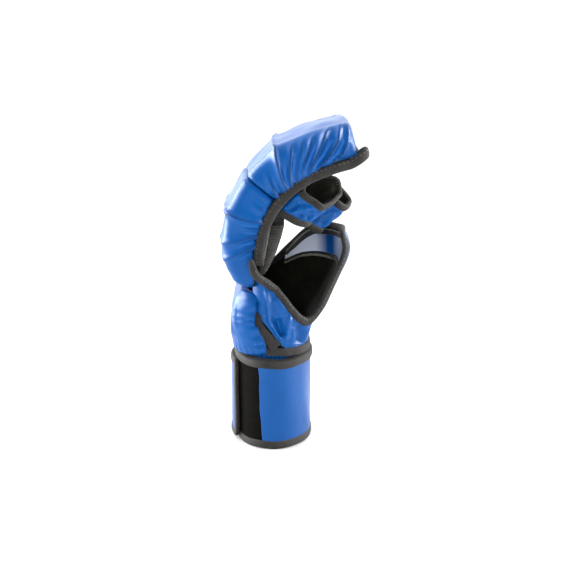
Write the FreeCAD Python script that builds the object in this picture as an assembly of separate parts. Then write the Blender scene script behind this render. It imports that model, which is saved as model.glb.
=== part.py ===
"""Left-hand sparring glove for mixed martial arts, standing on its wrist cuff.

Frame: +Z up, +X from the back of the hand towards the palm, -Y towards the thumb. The origin is the
centre of the wrist opening, on the plane that the cuff stands on. Millimetres.
"""
import FreeCAD
import Part
import math
import os

from FreeCAD import Vector

os.makedirs("parts", exist_ok=True)

# ---- cloth and leather stock -------------------------------------------------------------------
LEATHER = 1.3          # synthetic leather
LINING = 1.0           # lining cloth
SLACK = 0.15           # air between two layers that lie on each other
TAPE = 1.2             # folded bias tape, one thickness
TAPE_WIDTH = 7.5       # how far a tape reaches over an edge

# ---- wrist cuff ---------------------------------------------------------------------------------
CUFF_HEIGHT = 70.0
CUFF_A = 29.0          # half depth, back of the hand to palm, outside the leather
CUFF_B = 42.0          # half width, thumb side to little-finger side
CUFF_FOAM = 2.8
LOOP_PANEL_X = -10.5   # the hook-and-loop panel covers the cuff behind this plane

# ---- closing strap ------------------------------------------------------------------------------
STRAP_Z = (2.0, 66.0)
STRAP_INNER = 1.8      # strap's inner face, outside the cuff leather
STRAP_THICK = 3.4
HOOK_THICK = 1.0
STRAP_TAPE_DROP = 0.4  # edge tape below the strap's inner face
STRAP_ROOT_DEG = 94.0  # sewn end, little-finger side, degrees round the cuff from +X
STRAP_FOLD_DEG = 150.0
STRAP_END_DEG = 208.0  # free end, thumb side
STRAP_FOLD_GAP = 0.5   # degrees left free on each side of the fold
STRAP_END_INSET = 2.0  # degrees between the leather's free edge and the outside of its tape
STRAP_END_TAPE = 8.0   # degrees that the end tape reaches over the leather
HOOK_BEGIN = 12.0      # degrees from the fold to the hook panel

# ---- hand sleeve: height, back x, palm x, half width, palm corner radius of the cavity ----------
SLEEVE = [
    (70.0, -24.0, 22.5, 36.5, 18.0),
    (77.0, -21.5, 23.5, 38.0, 18.0),
    (85.0, -18.0, 25.0, 39.0, 18.0),
    (96.0, -14.5, 28.5, 40.0, 19.0),
    (110.0, -12.5, 37.5, 41.0, 20.0),
    (128.0, -12.0, 46.0, 41.0, 21.0),
    (145.0, -12.0, 53.0, 41.5, 21.0),
    (156.0, -12.0, 54.0, 42.0, 21.0),
    (167.0, -12.0, 47.0, 42.0, 21.0),
]
SLEEVE_BACK_R = 8.0    # corner radius behind the hand
SLEEVE_WALL = LINING + SLACK + LEATHER
SLEEVE_Z = 77.3        # the panels start above the wrist yoke
THUMB_SEAM_Y = -30.0   # thumb edge of the palm panel
LITTLE_SEAM_Y = 28.0   # palm panel to little-finger gusset
PALM_TOP = (165.0, 158.0)  # palm rim height at the thumb edge and at the little-finger side
THUMB_RIM = [(-9.5, 141.0), (-3.5, 135.0), (2.5, 130.0), (9.5, 121.5), (15.0, 110.5), (20.0, 102.0),
             (26.0, 98.0)]
LITTLE_RIM = [(-9.5, 122.5), (1.0, 128.5), (11.0, 138.5), (21.0, 148.5), (28.0, 154.5), (36.0, 158.0)]
VENT = [(-10.5, 106.0), (5.2, 86.5)]  # bound edge of the wrist vent, thumb side
VENT_FOOT_X = 19.0
FACING_WIDTH = 15.0
FACING_DROP = 3.5      # facing's top edge below the rim
FACING_TAIL = [(9.0, 133.0), (21.0, 145.0), (28.0, 151.0), (36.0, 154.5), (70.0, 154.5), (70.0, 139.5),
               (36.0, 139.5), (21.0, 137.0), (9.0, 131.0)]  # outline (x, z) on the little-finger side
RIM_TAPE_R = 2.7
VENT_TAPE_R = 2.2
HEM_Z = (73.8, 80.3)   # bound lower edge of the palm side
HEM_BACK_X = -4.0

# ---- wrist yoke, the short sleeve between the cuff and the hand ----------------------------------
YOKE_FOOT_Z = 61.0
YOKE_NECK_Z = 70.3
YOKE_HEAD_Z = 76.5
YOKE_HEAD = (1.5, 21.5, 37.0)  # centre x, half depth, half width

# ---- pad over the back of the hand --------------------------------------------------------------
# height, outer back x, half width
BACK_PAD = [(72.0, -29.5, 42.0), (80.0, -33.0, 45.0), (94.0, -32.7, 46.5), (108.0, -31.5, 47.0),
            (121.0, -26.5, 45.0)]
BACK_PAD_R = 22.0      # outer corner radius
BACK_SEAM = [(-6.0, 70.0), (-8.5, 82.0), (-12.9, 94.0), (-14.0, 106.0), (-14.0, 124.0)]  # (x, z)
BACK_LINING_Z = (78.0, 121.0)

# ---- curved main pad: a straight run up the hand, then two arcs over the fingers -----------------
PAD_FOOT = Vector(-13.3, 0, 148.0)  # where the straight run ends and the first arc starts
PAD_R1 = 70.0
PAD_TURN1 = 66.0       # degrees
PAD_R2 = 130.0
PAD_TURN2 = 10.0
PAD_BEGIN = -22.0      # distance along the lining, from PAD_FOOT
PAD_END = 110.0
PAD_COVER = 1.5
PAD_THICKNESS = [(-22.0, 15.0), (-12.0, 21.0), (0.0, 22.5), (20.0, 25.0), (45.0, 26.5), (70.0, 25.5),
                 (90.0, 24.5), (110.0, 23.0)]
PAD_HALF_WIDTH = [(-22.0, 48.5), (0.0, 50.5), (30.0, 54.0), (70.0, 55.0), (100.0, 53.5), (110.0, 52.0)]
PAD_EDGE_R = 9.0
PAD_CROWN = 2.0
KNUCKLE_HINGE = 24.4   # distance along the lining of the two flex lines
FINGER_HINGE = 67.2
FLEX_LEAN = 11.0       # half the wedge left free at each flex line, degrees
FLANGE_DEPTH = 7.0     # bound seam that hangs below the pad's edge
FLANGE_THICK = 4.4
FLANGE_PROUD = 0.6     # how far it stands past the pad's side
FLANGE_FLEX = 1.4      # room at a flex line, where the seam bends shut
TIP_TAPE = (0.3, 5.5)  # bound tip, from and to, past the pad's end
TIP_RISE = 5.0

# ---- knit-covered cushion behind the knuckles, inside the pad: outline (x, z) and half width -------
CUSHION = [(-11.7, 140.0), (-11.7, 148.0), (-10.8, 158.7), (-8.3, 169.2), (-2.0, 171.3), (8.2, 170.7),
           (5.0, 160.5), (1.2, 149.0), (-5.5, 140.0)]
CUSHION_HALF = 38.0

# ---- finger loops: name, y centre, half width, depth; distance along the finger of the base, at the
# back of the finger and under it, and of the tip, on the thumb side and on the other side
LOOPS = [
    ("index", -37.4, 11.9, 27.0, -15.0, -1.2, 13.0, 32.0),
    ("middle", -12.7, 12.0, 36.0, -12.0, -1.5, 20.0, 30.0),
    ("ring", 12.1, 12.0, 34.0, -12.0, -3.0, 20.0, 25.0),
    ("little", 36.3, 11.4, 26.0, -12.0, -4.0, 16.0, 12.0),
]
LOOP_DEG = 42.0        # finger direction above the horizontal
LOOP_BACK = Vector(10.6, 0, 191.0)  # a point on the loops' upper wall
LOOP_BACK_TIP = 23.0   # longest reach at the back of the finger, and how fast it grows towards the underside
LOOP_BACK_LEAN = 0.8
LOOP_CORNER = 9.0
LOOP_TAPE = 6.0

FAR = 400.0


# ================================ general helpers ==================================================
def save(name, shape):
    """Writes one named sub-part after a check that it holds only sound closed solids."""
    solids = [s for s in shape.Solids if s.Volume > 0.5]
    kept = solids[0] if len(solids) == 1 else Part.makeCompound(solids)
    if not solids or not kept.isValid():
        print("PROBLEM", name, len(solids), kept.isValid() if solids else "empty")
    kept.exportStep("parts/" + name + ".step")
    print(name, len(solids), round(sum(s.Volume for s in solids) / 1000.0, 2), "cm3")
    return kept


def between(table, s):
    """Linear value at s in a table of (position, value)."""
    if s <= table[0][0]:
        return table[0][1]
    for (s0, v0), (s1, v1) in zip(table, table[1:]):
        if s <= s1:
            return v0 + (v1 - v0) * (s - s0) / (s1 - s0)
    return table[-1][1]


def prism_y(points, y0, y1):
    """Straight prism along Y on an outline of (x, z) points."""
    corners = [Vector(x, y0, z) for x, z in points]
    wire = Part.makePolygon(corners + corners[:1])
    return Part.Face(wire).extrude(Vector(0, y1 - y0, 0))


def block(x0, x1, y0, y1, z0, z1):
    return Part.makeBox(x1 - x0, y1 - y0, z1 - z0, Vector(x0, y0, z0))


def smooth_edge(points):
    curve = Part.BSplineCurve()
    curve.interpolate([Vector(*p) for p in points])
    return curve.toShape()


def loft(wires):
    return Part.makeLoft(wires, True, False)


# ================================ wrist cuff and strap =============================================
def oval(grow, z0, z1):
    """Solid oval column that stands grow mm outside the cuff leather."""
    ellipse = Part.Ellipse(Vector(0, 0, z0), CUFF_B + grow, CUFF_A + grow)
    edge = ellipse.toShape()
    edge.rotate(Vector(0, 0, z0), Vector(0, 0, 1), 90)
    return Part.Face(Part.Wire([edge])).extrude(Vector(0, 0, z1 - z0))


def oval_ring(outer, inner, z0, z1):
    return oval(outer, z0, z1).cut(oval(inner, z0 - 1, z1 + 1))


def sector(from_deg, to_deg, z0, z1):
    """Wedge about the cuff's axis, for angles less than 180 degrees apart."""
    a0, a1 = math.radians(from_deg), math.radians(to_deg)
    rim = [Vector(FAR * math.cos(a), FAR * math.sin(a), z0) for a in (a0, (a0 + a1) / 2, a1)]
    wire = Part.makePolygon([Vector(0, 0, z0)] + rim + [Vector(0, 0, z0)])
    return Part.Face(wire).extrude(Vector(0, 0, z1 - z0))


def build_cuff():
    low = TAPE + SLACK
    high = CUFF_HEIGHT - low
    skin = oval_ring(0, -LEATHER, low, high)
    foam_out = -LEATHER - SLACK
    foam_in = foam_out - CUFF_FOAM
    lining_out = foam_in - SLACK
    lining_in = lining_out - LINING
    behind = block(-FAR, LOOP_PANEL_X - SLACK, -FAR, FAR, 0, CUFF_HEIGHT)
    ahead = block(LOOP_PANEL_X, FAR, -FAR, FAR, 0, CUFF_HEIGHT)
    save("cuff_loop_panel", skin.common(behind))
    save("cuff_leather", skin.common(ahead))
    save("cuff_foam", oval_ring(foam_out, foam_in, low, high))
    save("cuff_lining", oval_ring(lining_out, lining_in, low, high))
    groove = oval_ring(SLACK, lining_in - SLACK, TAPE, CUFF_HEIGHT - TAPE)
    for name, z0 in (("cuff_bottom_binding", 0.0), ("cuff_top_binding", CUFF_HEIGHT - TAPE_WIDTH)):
        tape = oval_ring(TAPE, lining_in - TAPE, z0, z0 + TAPE_WIDTH)
        save(name, tape.cut(groove))


def strap_part(from_deg, to_deg, free_end):
    """Leather, edge tape and hook tape of one stretch of the strap, between two angles round the cuff."""
    z0, z1 = STRAP_Z
    wedge = sector(from_deg, to_deg, 0, CUFF_HEIGHT)
    face = STRAP_INNER + (HOOK_THICK + SLACK if free_end else 0.0)
    crown = STRAP_INNER + STRAP_THICK
    last = to_deg - (STRAP_END_INSET if free_end else 0.0)
    core = sector(from_deg, last, z0 + TAPE, z1 - TAPE)
    leather = oval_ring(crown, face, z0 + TAPE, z1 - TAPE).common(core)
    tape = oval_ring(crown + TAPE, STRAP_INNER - STRAP_TAPE_DROP, z0, z1).common(wedge)
    window_end = last - (STRAP_END_TAPE if free_end else -1.0)
    window = sector(from_deg - 1.0, window_end, z0 + TAPE_WIDTH, z1 - TAPE_WIDTH)
    tape = tape.cut(window)
    slot = oval_ring(crown + SLACK, STRAP_INNER - SLACK, z0 + TAPE - SLACK, z1 - TAPE + SLACK)
    tape = tape.cut(slot.common(sector(from_deg - 1.0, last + 0.2, z0, z1)))
    hook = None
    if free_end:
        hook_zone = sector(from_deg + HOOK_BEGIN, last, z0 + TAPE, z1 - TAPE)
        hook = oval_ring(STRAP_INNER + HOOK_THICK, STRAP_INNER, z0 + TAPE, z1 - TAPE).common(hook_zone)
    return leather, tape, hook


def build_strap():
    leather, tape, _ = strap_part(STRAP_ROOT_DEG, STRAP_FOLD_DEG - STRAP_FOLD_GAP, False)
    save("strap_root_leather", leather)
    middle = CUFF_HEIGHT / 2.0
    save("strap_root_lower_binding", tape.common(block(-FAR, FAR, -FAR, FAR, 0, middle)))
    save("strap_root_upper_binding", tape.common(block(-FAR, FAR, -FAR, FAR, middle, CUFF_HEIGHT)))
    leather, tape, hook = strap_part(STRAP_FOLD_DEG + STRAP_FOLD_GAP, STRAP_END_DEG, True)
    save("strap_tip_leather", leather)
    save("strap_tip_binding", tape)
    save("strap_hook_panel", hook)


# ================================ hand sleeve ======================================================
def sleeve_at(z):
    """(back x, palm x, half width, corner radius) of the cavity at a height."""
    return tuple(between([(row[0], row[k]) for row in SLEEVE], z) for k in (1, 2, 3, 4))


def rounded_box_wire(x0, x1, b, palm_r, back_r, z):
    """Rounded rectangle in a level plane, with one radius at the palm and one at the back."""
    def corner(cx, cy, r, start):
        turns = [math.radians(start + d) for d in (0, 45, 90)]
        return [Vector(cx + r * math.cos(t), cy + r * math.sin(t), z) for t in turns]

    corners = [
        corner(x1 - palm_r, b - palm_r, palm_r, 0),
        corner(x0 + back_r, b - back_r, back_r, 90),
        corner(x0 + back_r, back_r - b, back_r, 180),
        corner(x1 - palm_r, palm_r - b, palm_r, 270),
    ]
    edges = []
    for k, points in enumerate(corners):
        edges.append(Part.Arc(*points).toShape())
        edges.append(Part.makeLine(points[2], corners[(k + 1) % 4][0]))
    return Part.Wire(edges)


def sleeve_body(grow):
    """The cavity of the sleeve, grown by a wall, as one solid."""
    wires = []
    for z, x0, x1, b, r in SLEEVE:
        wires.append(rounded_box_wire(x0 - grow, x1 + grow, b + grow, r + grow, SLEEVE_BACK_R + grow, z))
    return loft(wires)


def thumb_wall_y(x, z, grow):
    """y of the sleeve's thumb-side wall at a place on it."""
    x0, x1, b, palm_r = sleeve_at(z)
    x0, x1, b, palm_r, back_r = x0 - grow, x1 + grow, b + grow, palm_r + grow, SLEEVE_BACK_R + grow
    if x > x1 - palm_r:
        return -(b - palm_r) - math.sqrt(max(palm_r ** 2 - (x - x1 + palm_r) ** 2, 0.0))
    if x < x0 + back_r:
        return -(b - back_r) - math.sqrt(max(back_r ** 2 - (x0 + back_r - x) ** 2, 0.0))
    return -b


def palm_wall_x(y, z, grow):
    """x of the palm wall at a place on it."""
    _, x1, b, r = sleeve_at(z)
    x1, b, r = x1 + grow, b + grow, r + grow
    reach = max(abs(y) - (b - r), 0.0)
    return x1 - r + math.sqrt(max(r * r - min(reach, r) ** 2, 0.0))


def palm_top(y):
    share = (y - THUMB_SEAM_Y) / (LITTLE_SEAM_Y - THUMB_SEAM_Y)
    return PALM_TOP[0] + (PALM_TOP[1] - PALM_TOP[0]) * max(0.0, min(1.0, share))


def rounded_pipe(points, r):
    """Round cord along a smooth path."""
    path = smooth_edge(points)
    start, along = path.valueAt(path.FirstParameter), path.tangentAt(path.FirstParameter)
    circle = Part.Wire([Part.Circle(start, along, r).toShape()])
    return Part.Wire([path]).makePipeShell([circle], True, False)


def palm_outline(y0, y1, z0, drop0, drop1):
    """Column through the palm wall, between two y, from z0 or drop1 under the rim to drop0 under it."""
    low = [(y1, z0), (y0, z0)] if z0 else [(y1, palm_top(y1) - drop1), (y0, palm_top(y0) - drop1)]
    points = [(y0, palm_top(y0) - drop0), (y1, palm_top(y1) - drop0)] + low
    corners = [Vector(5.0, y, z) for y, z in points]
    return Part.Face(Part.makePolygon(corners + corners[:1])).extrude(Vector(FAR, 0, 0))


def build_sleeve():
    inner = sleeve_body(0.0)
    leather = sleeve_body(SLEEVE_WALL).cut(sleeve_body(LINING + SLACK))
    lining = sleeve_body(LINING).cut(inner)

    floor = [(60.0, 98.0), (60.0, SLEEVE_Z), (VENT_FOOT_X, SLEEVE_Z)]
    thumb_zone = prism_y(THUMB_RIM + floor + VENT[::-1], -FAR, THUMB_SEAM_Y - SLACK)
    little_side = LITTLE_RIM + [(70.0, 158.0), (70.0, SLEEVE_Z), (LITTLE_RIM[0][0], SLEEVE_Z)]
    little_zone = prism_y(little_side, LITTLE_SEAM_Y + SLACK, FAR)
    palm_zone = palm_outline(THUMB_SEAM_Y, LITTLE_SEAM_Y, SLEEVE_Z, 0.0, 0.0)

    cloth = [
        save("thumb_gusset", leather.common(thumb_zone)),
        save("thumb_gusset_lining", lining.common(thumb_zone)),
        save("palm_panel", leather.common(palm_zone)),
        save("palm_lining", lining.common(palm_zone)),
        save("little_gusset", leather.common(little_zone)),
        save("little_gusset_lining", lining.common(little_zone)),
    ]
    cloth = Part.makeCompound(cloth)

    # leather facing sewn on the lining, inside the palm rim and on along the little-finger side
    facing_body = sleeve_body(-SLACK).cut(sleeve_body(-SLACK - LEATHER))
    side = RIM_TAPE_R + 1.0
    facing_zone = palm_outline(THUMB_SEAM_Y + side, LITTLE_SEAM_Y, 0, FACING_DROP, FACING_DROP + FACING_WIDTH)
    facing_zone = facing_zone.fuse(prism_y(FACING_TAIL, LITTLE_SEAM_Y, FAR))
    save("palm_facing", facing_body.common(facing_zone))

    wall = LINING + LEATHER / 2.0
    near = [(x, thumb_wall_y(x, z, wall), z) for x, z in THUMB_RIM]
    near.append((palm_wall_x(-33.5, 99.5, wall), -33.5, 99.5))
    for z in (110.0, 125.0, 140.0, 152.0, 160.0):
        near.append((palm_wall_x(THUMB_SEAM_Y, z, wall), THUMB_SEAM_Y, z))
    across = [(palm_wall_x(y, palm_top(y), wall), y, palm_top(y)) for y in (-26.0, -12.0, 4.0, 18.0, 28.0)]
    far = [(x, -thumb_wall_y(x, z, wall), z) for x, z in LITTLE_RIM[::-1]]
    save("thumb_opening_binding", rounded_pipe(near, RIM_TAPE_R).cut(cloth))
    save("palm_rim_binding", rounded_pipe(across + far, RIM_TAPE_R).cut(cloth))

    vent = []
    for t in (0.0, 0.25, 0.5, 0.75, 1.0):
        x = VENT[0][0] + (VENT[1][0] - VENT[0][0]) * t
        z = VENT[0][1] + (VENT[1][1] - VENT[0][1]) * t
        vent.append((x, thumb_wall_y(x, z, wall), z))
    save("vent_binding", rounded_pipe(vent, VENT_TAPE_R).cut(cloth))

    hem = sleeve_body(SLEEVE_WALL + SLACK + TAPE).cut(sleeve_body(SLEEVE_WALL + SLACK))
    save("hem_binding", hem.common(block(HEM_BACK_X, FAR, -FAR, FAR, *HEM_Z)))


def build_yoke():
    """The ring that joins the sleeve to the cuff; its foot is tucked inside the cuff."""
    inside = LEATHER + CUFF_FOAM + LINING + 2 * SLACK + TAPE + SLACK

    def ring(grow):
        centre, half_depth, half_width = YOKE_HEAD
        wires = []
        for x, z, a, b in (
            (0.0, YOKE_FOOT_Z, CUFF_A - inside, CUFF_B - inside),
            (0.0, YOKE_NECK_Z, CUFF_A - inside, CUFF_B - inside),
            (centre, YOKE_HEAD_Z, half_depth, half_width),
        ):
            edge = Part.Ellipse(Vector(x, 0, z), b + grow, a + grow).toShape()
            edge.rotate(Vector(x, 0, z), Vector(0, 0, 1), 90)
            wires.append(Part.Wire([edge]))
        return Part.makeLoft(wires, True, True)

    save("wrist_yoke", ring(0.0).cut(ring(-LEATHER)))


# ================================ pad over the back of the hand ====================================
def build_back_pad():
    def body(shrink):
        wires = []
        for k, (z, x0, b) in enumerate(BACK_PAD):
            lift = shrink if k == 0 else -shrink if k == len(BACK_PAD) - 1 else 0.0
            wires.append(rounded_box_wire(x0 + shrink, 26.0, b - shrink, BACK_PAD_R, BACK_PAD_R, z + lift))
        return loft(wires)

    def side(setback):
        edge = [(x - setback, z) for x, z in BACK_SEAM]
        return prism_y(edge + [(-80.0, 124.0), (-80.0, 70.0)], -FAR, FAR)

    cavity = sleeve_body(SLEEVE_WALL + SLACK)
    hollow = body(PAD_COVER).cut(cavity).common(side(PAD_COVER))
    save("back_pad_cover", body(0.0).cut(cavity).common(side(0.0)).cut(hollow))
    save("back_pad_foam", body(PAD_COVER + SLACK).cut(cavity).common(side(PAD_COVER + SLACK)))

    z0, z1 = BACK_LINING_Z
    clear = VENT_TAPE_R * 1.5
    vent_side = [(x - clear, z) for x, z in VENT]
    head = [(vent_side[0][0], z1), (-80.0, z1)]
    vent_side = [(-80.0, z0), (VENT_FOOT_X - 6.0, z0)] + vent_side[::-1] + head
    zone = prism_y(vent_side, -FAR, -25.0)
    zone = zone.fuse([block(-80.0, 5.0, -25.0, 25.0, z0, z1), block(-80.0, -12.0, 25.0, FAR, z0, z1)])
    save("back_lining", sleeve_body(LINING).cut(sleeve_body(0.0)).common(zone))


# ================================ curved main pad ==================================================
def pad_frame(s):
    """Point on the lining line and heading in degrees at a distance s along it."""
    end1 = math.radians(PAD_TURN1) * PAD_R1
    end2 = end1 + math.radians(PAD_TURN2) * PAD_R2
    if s <= 0.0:
        return PAD_FOOT + Vector(0, 0, s), 90.0

    def arc(start, heading, radius, length):
        turn = math.degrees(length / radius)
        h0, h1 = math.radians(heading), math.radians(heading - turn)
        centre = start + Vector(math.sin(h0), 0, -math.cos(h0)) * radius
        return centre - Vector(math.sin(h1), 0, -math.cos(h1)) * radius, heading - turn

    point, heading = arc(PAD_FOOT, 90.0, PAD_R1, min(s, end1))
    if s > end1:
        point, heading = arc(point, heading, PAD_R2, min(s, end2) - end1)
    if s > end2:
        h = math.radians(heading)
        point = point + Vector(math.cos(h), 0, math.sin(h)) * (s - end2)
    return point, heading


def pad_axes(s, lean):
    point, heading = pad_frame(s)
    out = math.radians(heading + 90.0 + lean)
    return point, Vector(math.cos(out), 0, math.sin(out))


def crowned_wire(s, lean, shrink):
    """Pad section: flat below, rounded shoulders and a slightly crowned top."""
    point, out = pad_axes(s, lean)
    w = between(PAD_HALF_WIDTH, s) - shrink
    t = between(PAD_THICKNESS, s) / math.cos(math.radians(lean)) - shrink
    r = PAD_EDGE_R
    k = r * (1 - math.sqrt(0.5))

    def at(y, n):
        return point + Vector(0, y, 0) + out * n

    low = shrink * 0.1
    return Part.Wire([
        Part.makeLine(at(-w, low), at(w, low)),
        Part.makeLine(at(w, low), at(w, t - r)),
        Part.Arc(at(w, t - r), at(w - k, t - k), at(w - r, t)).toShape(),
        Part.Arc(at(w - r, t), at(0, t + PAD_CROWN), at(r - w, t)).toShape(),
        Part.Arc(at(r - w, t), at(k - w, t - k), at(-w, t - r)).toShape(),
        Part.makeLine(at(-w, t - r), at(-w, low)),
    ])


def strip_wire(s, lean, y0, y1, n0, n1):
    point, out = pad_axes(s, lean)
    corners = [point + Vector(0, y, 0) + out * n for y, n in ((y0, n0), (y1, n0), (y1, n1), (y0, n1))]
    return Part.makePolygon(corners + corners[:1])


def stations(s0, s1, lean0, lean1):
    """Stations from s0 to s1; only the end sections lean."""
    count = max(2, int(round((s1 - s0) / 11.0)))
    rows = []
    for k in range(count + 1):
        lean = lean0 * max(0.0, 1 - 2.0 * k / count) + lean1 * max(0.0, 2.0 * k / count - 1)
        rows.append((s0 + (s1 - s0) * k / count, lean))
    return rows


def build_pad_part(name, s0, s1, lean0, lean1, free0, free1):
    """Cover, foam, lining and bound edge of one stretch of the main pad."""
    rows = stations(s0, s1, lean0, lean1)
    outside = loft([crowned_wire(s, lean, 0.0) for s, lean in rows])
    inner_rows = stations(s0 + PAD_COVER, s1 - PAD_COVER, lean0, lean1)
    hollow = loft([crowned_wire(s, lean, PAD_COVER) for s, lean in inner_rows])
    foam_rows = stations(s0 + PAD_COVER + SLACK, s1 - PAD_COVER - SLACK, lean0, lean1)
    foam = loft([crowned_wire(s, lean, PAD_COVER + SLACK) for s, lean in foam_rows])
    save(name + "_pad_cover", outside.cut(hollow))
    save(name + "_pad_foam", foam)

    sheet_rows = stations(s0 + 0.6, s1 - 0.6, 0.0, 0.0)
    half = min(between(PAD_HALF_WIDTH, s) for s in (s0, s1)) - FLANGE_THICK - 0.4
    lining = loft([strip_wire(s, 0.0, -half, half, -SLACK - LINING, -SLACK) for s, _ in sheet_rows])
    save(name + "_lining", lining)

    def seam(side, rows):
        wires = []
        for s, _ in rows:
            edge = side * (between(PAD_HALF_WIDTH, s) + FLANGE_PROUD)
            back = edge - side * FLANGE_THICK
            wires.append(strip_wire(s, 0.0, min(edge, back), max(edge, back), -FLANGE_DEPTH, -SLACK))
        return loft(wires)

    flange_rows = stations(s0 + (0 if free0 else FLANGE_FLEX), s1 - (0 if free1 else FLANGE_FLEX), 0.0, 0.0)
    thumb_side, little_side = seam(-1.0, flange_rows), seam(1.0, flange_rows)
    if not free1:
        save(name + "_thumb_binding", thumb_side)
        save(name + "_little_binding", little_side)
        return
    half = between(PAD_HALF_WIDTH, s1) + FLANGE_PROUD
    bar_rows = [s1 + ahead for ahead in TIP_TAPE]
    bar = loft([strip_wire(s, 0.0, -half, half, -FLANGE_DEPTH, TIP_RISE) for s in bar_rows])
    corners = [seam(side, [(s1 - 1.0, 0.0), (s1 + 1.0, 0.0)]) for side in (-1.0, 1.0)]
    save(name + "_binding", thumb_side.fuse([little_side, bar] + corners))


def build_main_pad():
    build_pad_part("hand", PAD_BEGIN, KNUCKLE_HINGE - 0.4, 0.0, FLEX_LEAN, True, False)
    build_pad_part("knuckle", KNUCKLE_HINGE + 0.4, FINGER_HINGE - 0.4, -FLEX_LEAN, FLEX_LEAN, False, False)
    build_pad_part("finger", FINGER_HINGE + 0.4, PAD_END, -FLEX_LEAN, 0.0, False, True)


# ================================ finger loops =====================================================
def build_cushion():
    save("hand_cushion", prism_y(CUSHION, -CUSHION_HALF, CUSHION_HALF))


def build_loop(name, y, half, depth, base_back, base_under, tip_near, tip_far):
    along = Vector(math.cos(math.radians(LOOP_DEG)), 0, math.sin(math.radians(LOOP_DEG)))
    down = Vector(along.z, 0, -along.x)
    reach = 60.0
    margin = 30.0

    def at(a, n, t):
        """Point a mm across, n mm under the back of the finger and t mm along it."""
        return LOOP_BACK + Vector(0, y + a, 0) + down * n + along * t

    def tube(grow):
        """Long rounded bar along the finger, grown outward by grow."""
        w, r = half + grow, LOOP_CORNER + grow
        n0, n1 = -grow, depth + grow

        def corner(a, n, start):
            angles = [math.radians(start + d) for d in (0, 45, 90)]
            return [at(a + r * math.cos(q), n + r * math.sin(q), -reach) for q in angles]

        arcs = [
            corner(w - r, n1 - r, 0),
            corner(r - w, n1 - r, 90),
            corner(r - w, n0 + r, 180),
            corner(w - r, n0 + r, 270),
        ]
        edges = []
        for k, points in enumerate(arcs):
            edges.append(Part.Arc(*points).toShape())
            if (points[2] - arcs[(k + 1) % 4][0]).Length > 1e-3:
                edges.append(Part.makeLine(points[2], arcs[(k + 1) % 4][0]))
        return Part.Face(Part.Wire(edges)).extrude(along * (2 * reach))

    def past_base(inset):
        """Everything beyond the slanting base end, moved inset mm up the finger."""
        lean = (base_under - base_back) / depth
        low, high = base_back - lean * margin, base_back + lean * (depth + margin)
        ends = [(-margin, low + inset), (depth + margin, high + inset)]
        points = [at(-margin, n, t) for n, t in ends + [(depth + margin, reach), (-margin, reach)]]
        return Part.Face(Part.makePolygon(points + points[:1])).extrude(Vector(0, 2 * margin, 0))

    def before_tip(inset):
        """Everything short of the slanting tip end, moved inset mm down the finger."""
        lean = (tip_far - tip_near) / (2 * half)
        middle = (tip_far + tip_near) / 2
        low, high = middle - lean * margin, middle + lean * margin
        corners = [(-margin, low - inset), (margin, high - inset), (margin, -reach), (-margin, -reach)]
        points = [at(a, -margin, t) for a, t in corners]
        across = Part.Face(Part.makePolygon(points + points[:1])).extrude(down * (depth + 2 * margin))
        # the back, under the pad, is cut shorter
        low, high = LOOP_BACK_TIP - LOOP_BACK_LEAN * margin, LOOP_BACK_TIP + LOOP_BACK_LEAN * (depth + margin)
        ends = [(-margin, low - inset), (depth + margin, high - inset)]
        points = [at(-margin, n, t) for n, t in ends + [(depth + margin, -reach), (-margin, -reach)]]
        back = Part.Face(Part.makePolygon(points + points[:1])).extrude(Vector(0, 2 * margin, 0))
        return across.common(back)

    skin = -TAPE
    inner = skin - LEATHER - SLACK
    core = past_base(TAPE).common(before_tip(TAPE))
    save(name + "_loop_leather", tube(skin).cut(tube(skin - LEATHER)).common(core))
    save(name + "_loop_lining", tube(inner).cut(tube(inner - LINING)).common(core))
    room = past_base(TAPE - SLACK).common(before_tip(TAPE - SLACK))
    groove = tube(skin + SLACK / 2).cut(tube(inner - LINING - SLACK)).common(room)
    shell = tube(0.0).cut(tube(inner - LINING - TAPE)).cut(groove)
    save(name + "_loop_base_binding", shell.common(past_base(0.0)).cut(past_base(LOOP_TAPE)))
    save(name + "_loop_tip_binding", shell.common(before_tip(0.0)).cut(before_tip(LOOP_TAPE)))


build_cuff()
build_strap()
build_sleeve()
build_yoke()
build_back_pad()
build_main_pad()
build_cushion()
for row in LOOPS:
    build_loop(*row)
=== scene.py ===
"""Looks of the left-hand sparring glove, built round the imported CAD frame.

Lengths are in millimetres until mesh_object() turns them into metres. Axes as in the frame:
+Z to the fingers, +X to the palm, -Y to the thumb.
"""
import math

import bpy
import numpy as np
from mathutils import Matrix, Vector


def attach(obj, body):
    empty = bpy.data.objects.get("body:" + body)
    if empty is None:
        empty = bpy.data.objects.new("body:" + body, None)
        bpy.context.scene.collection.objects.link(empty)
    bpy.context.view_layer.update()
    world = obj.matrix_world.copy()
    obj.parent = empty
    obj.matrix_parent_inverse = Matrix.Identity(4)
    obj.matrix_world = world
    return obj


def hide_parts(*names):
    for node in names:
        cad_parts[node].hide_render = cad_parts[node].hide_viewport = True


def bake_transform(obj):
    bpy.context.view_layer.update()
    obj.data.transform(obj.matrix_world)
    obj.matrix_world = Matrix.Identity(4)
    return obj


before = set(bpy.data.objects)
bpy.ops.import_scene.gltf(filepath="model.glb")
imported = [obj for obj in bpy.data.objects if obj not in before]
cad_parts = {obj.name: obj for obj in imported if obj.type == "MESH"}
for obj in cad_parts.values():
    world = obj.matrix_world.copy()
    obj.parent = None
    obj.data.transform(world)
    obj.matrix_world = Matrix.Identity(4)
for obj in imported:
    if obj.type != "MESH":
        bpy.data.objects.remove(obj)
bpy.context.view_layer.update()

MM = 0.001


# ======== small maths ========
def lerp(table, t):
    """Values at t in a table of (position, value) rows."""
    rows = np.array(table, float)
    return np.interp(t, rows[:, 0], rows[:, 1])


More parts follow.
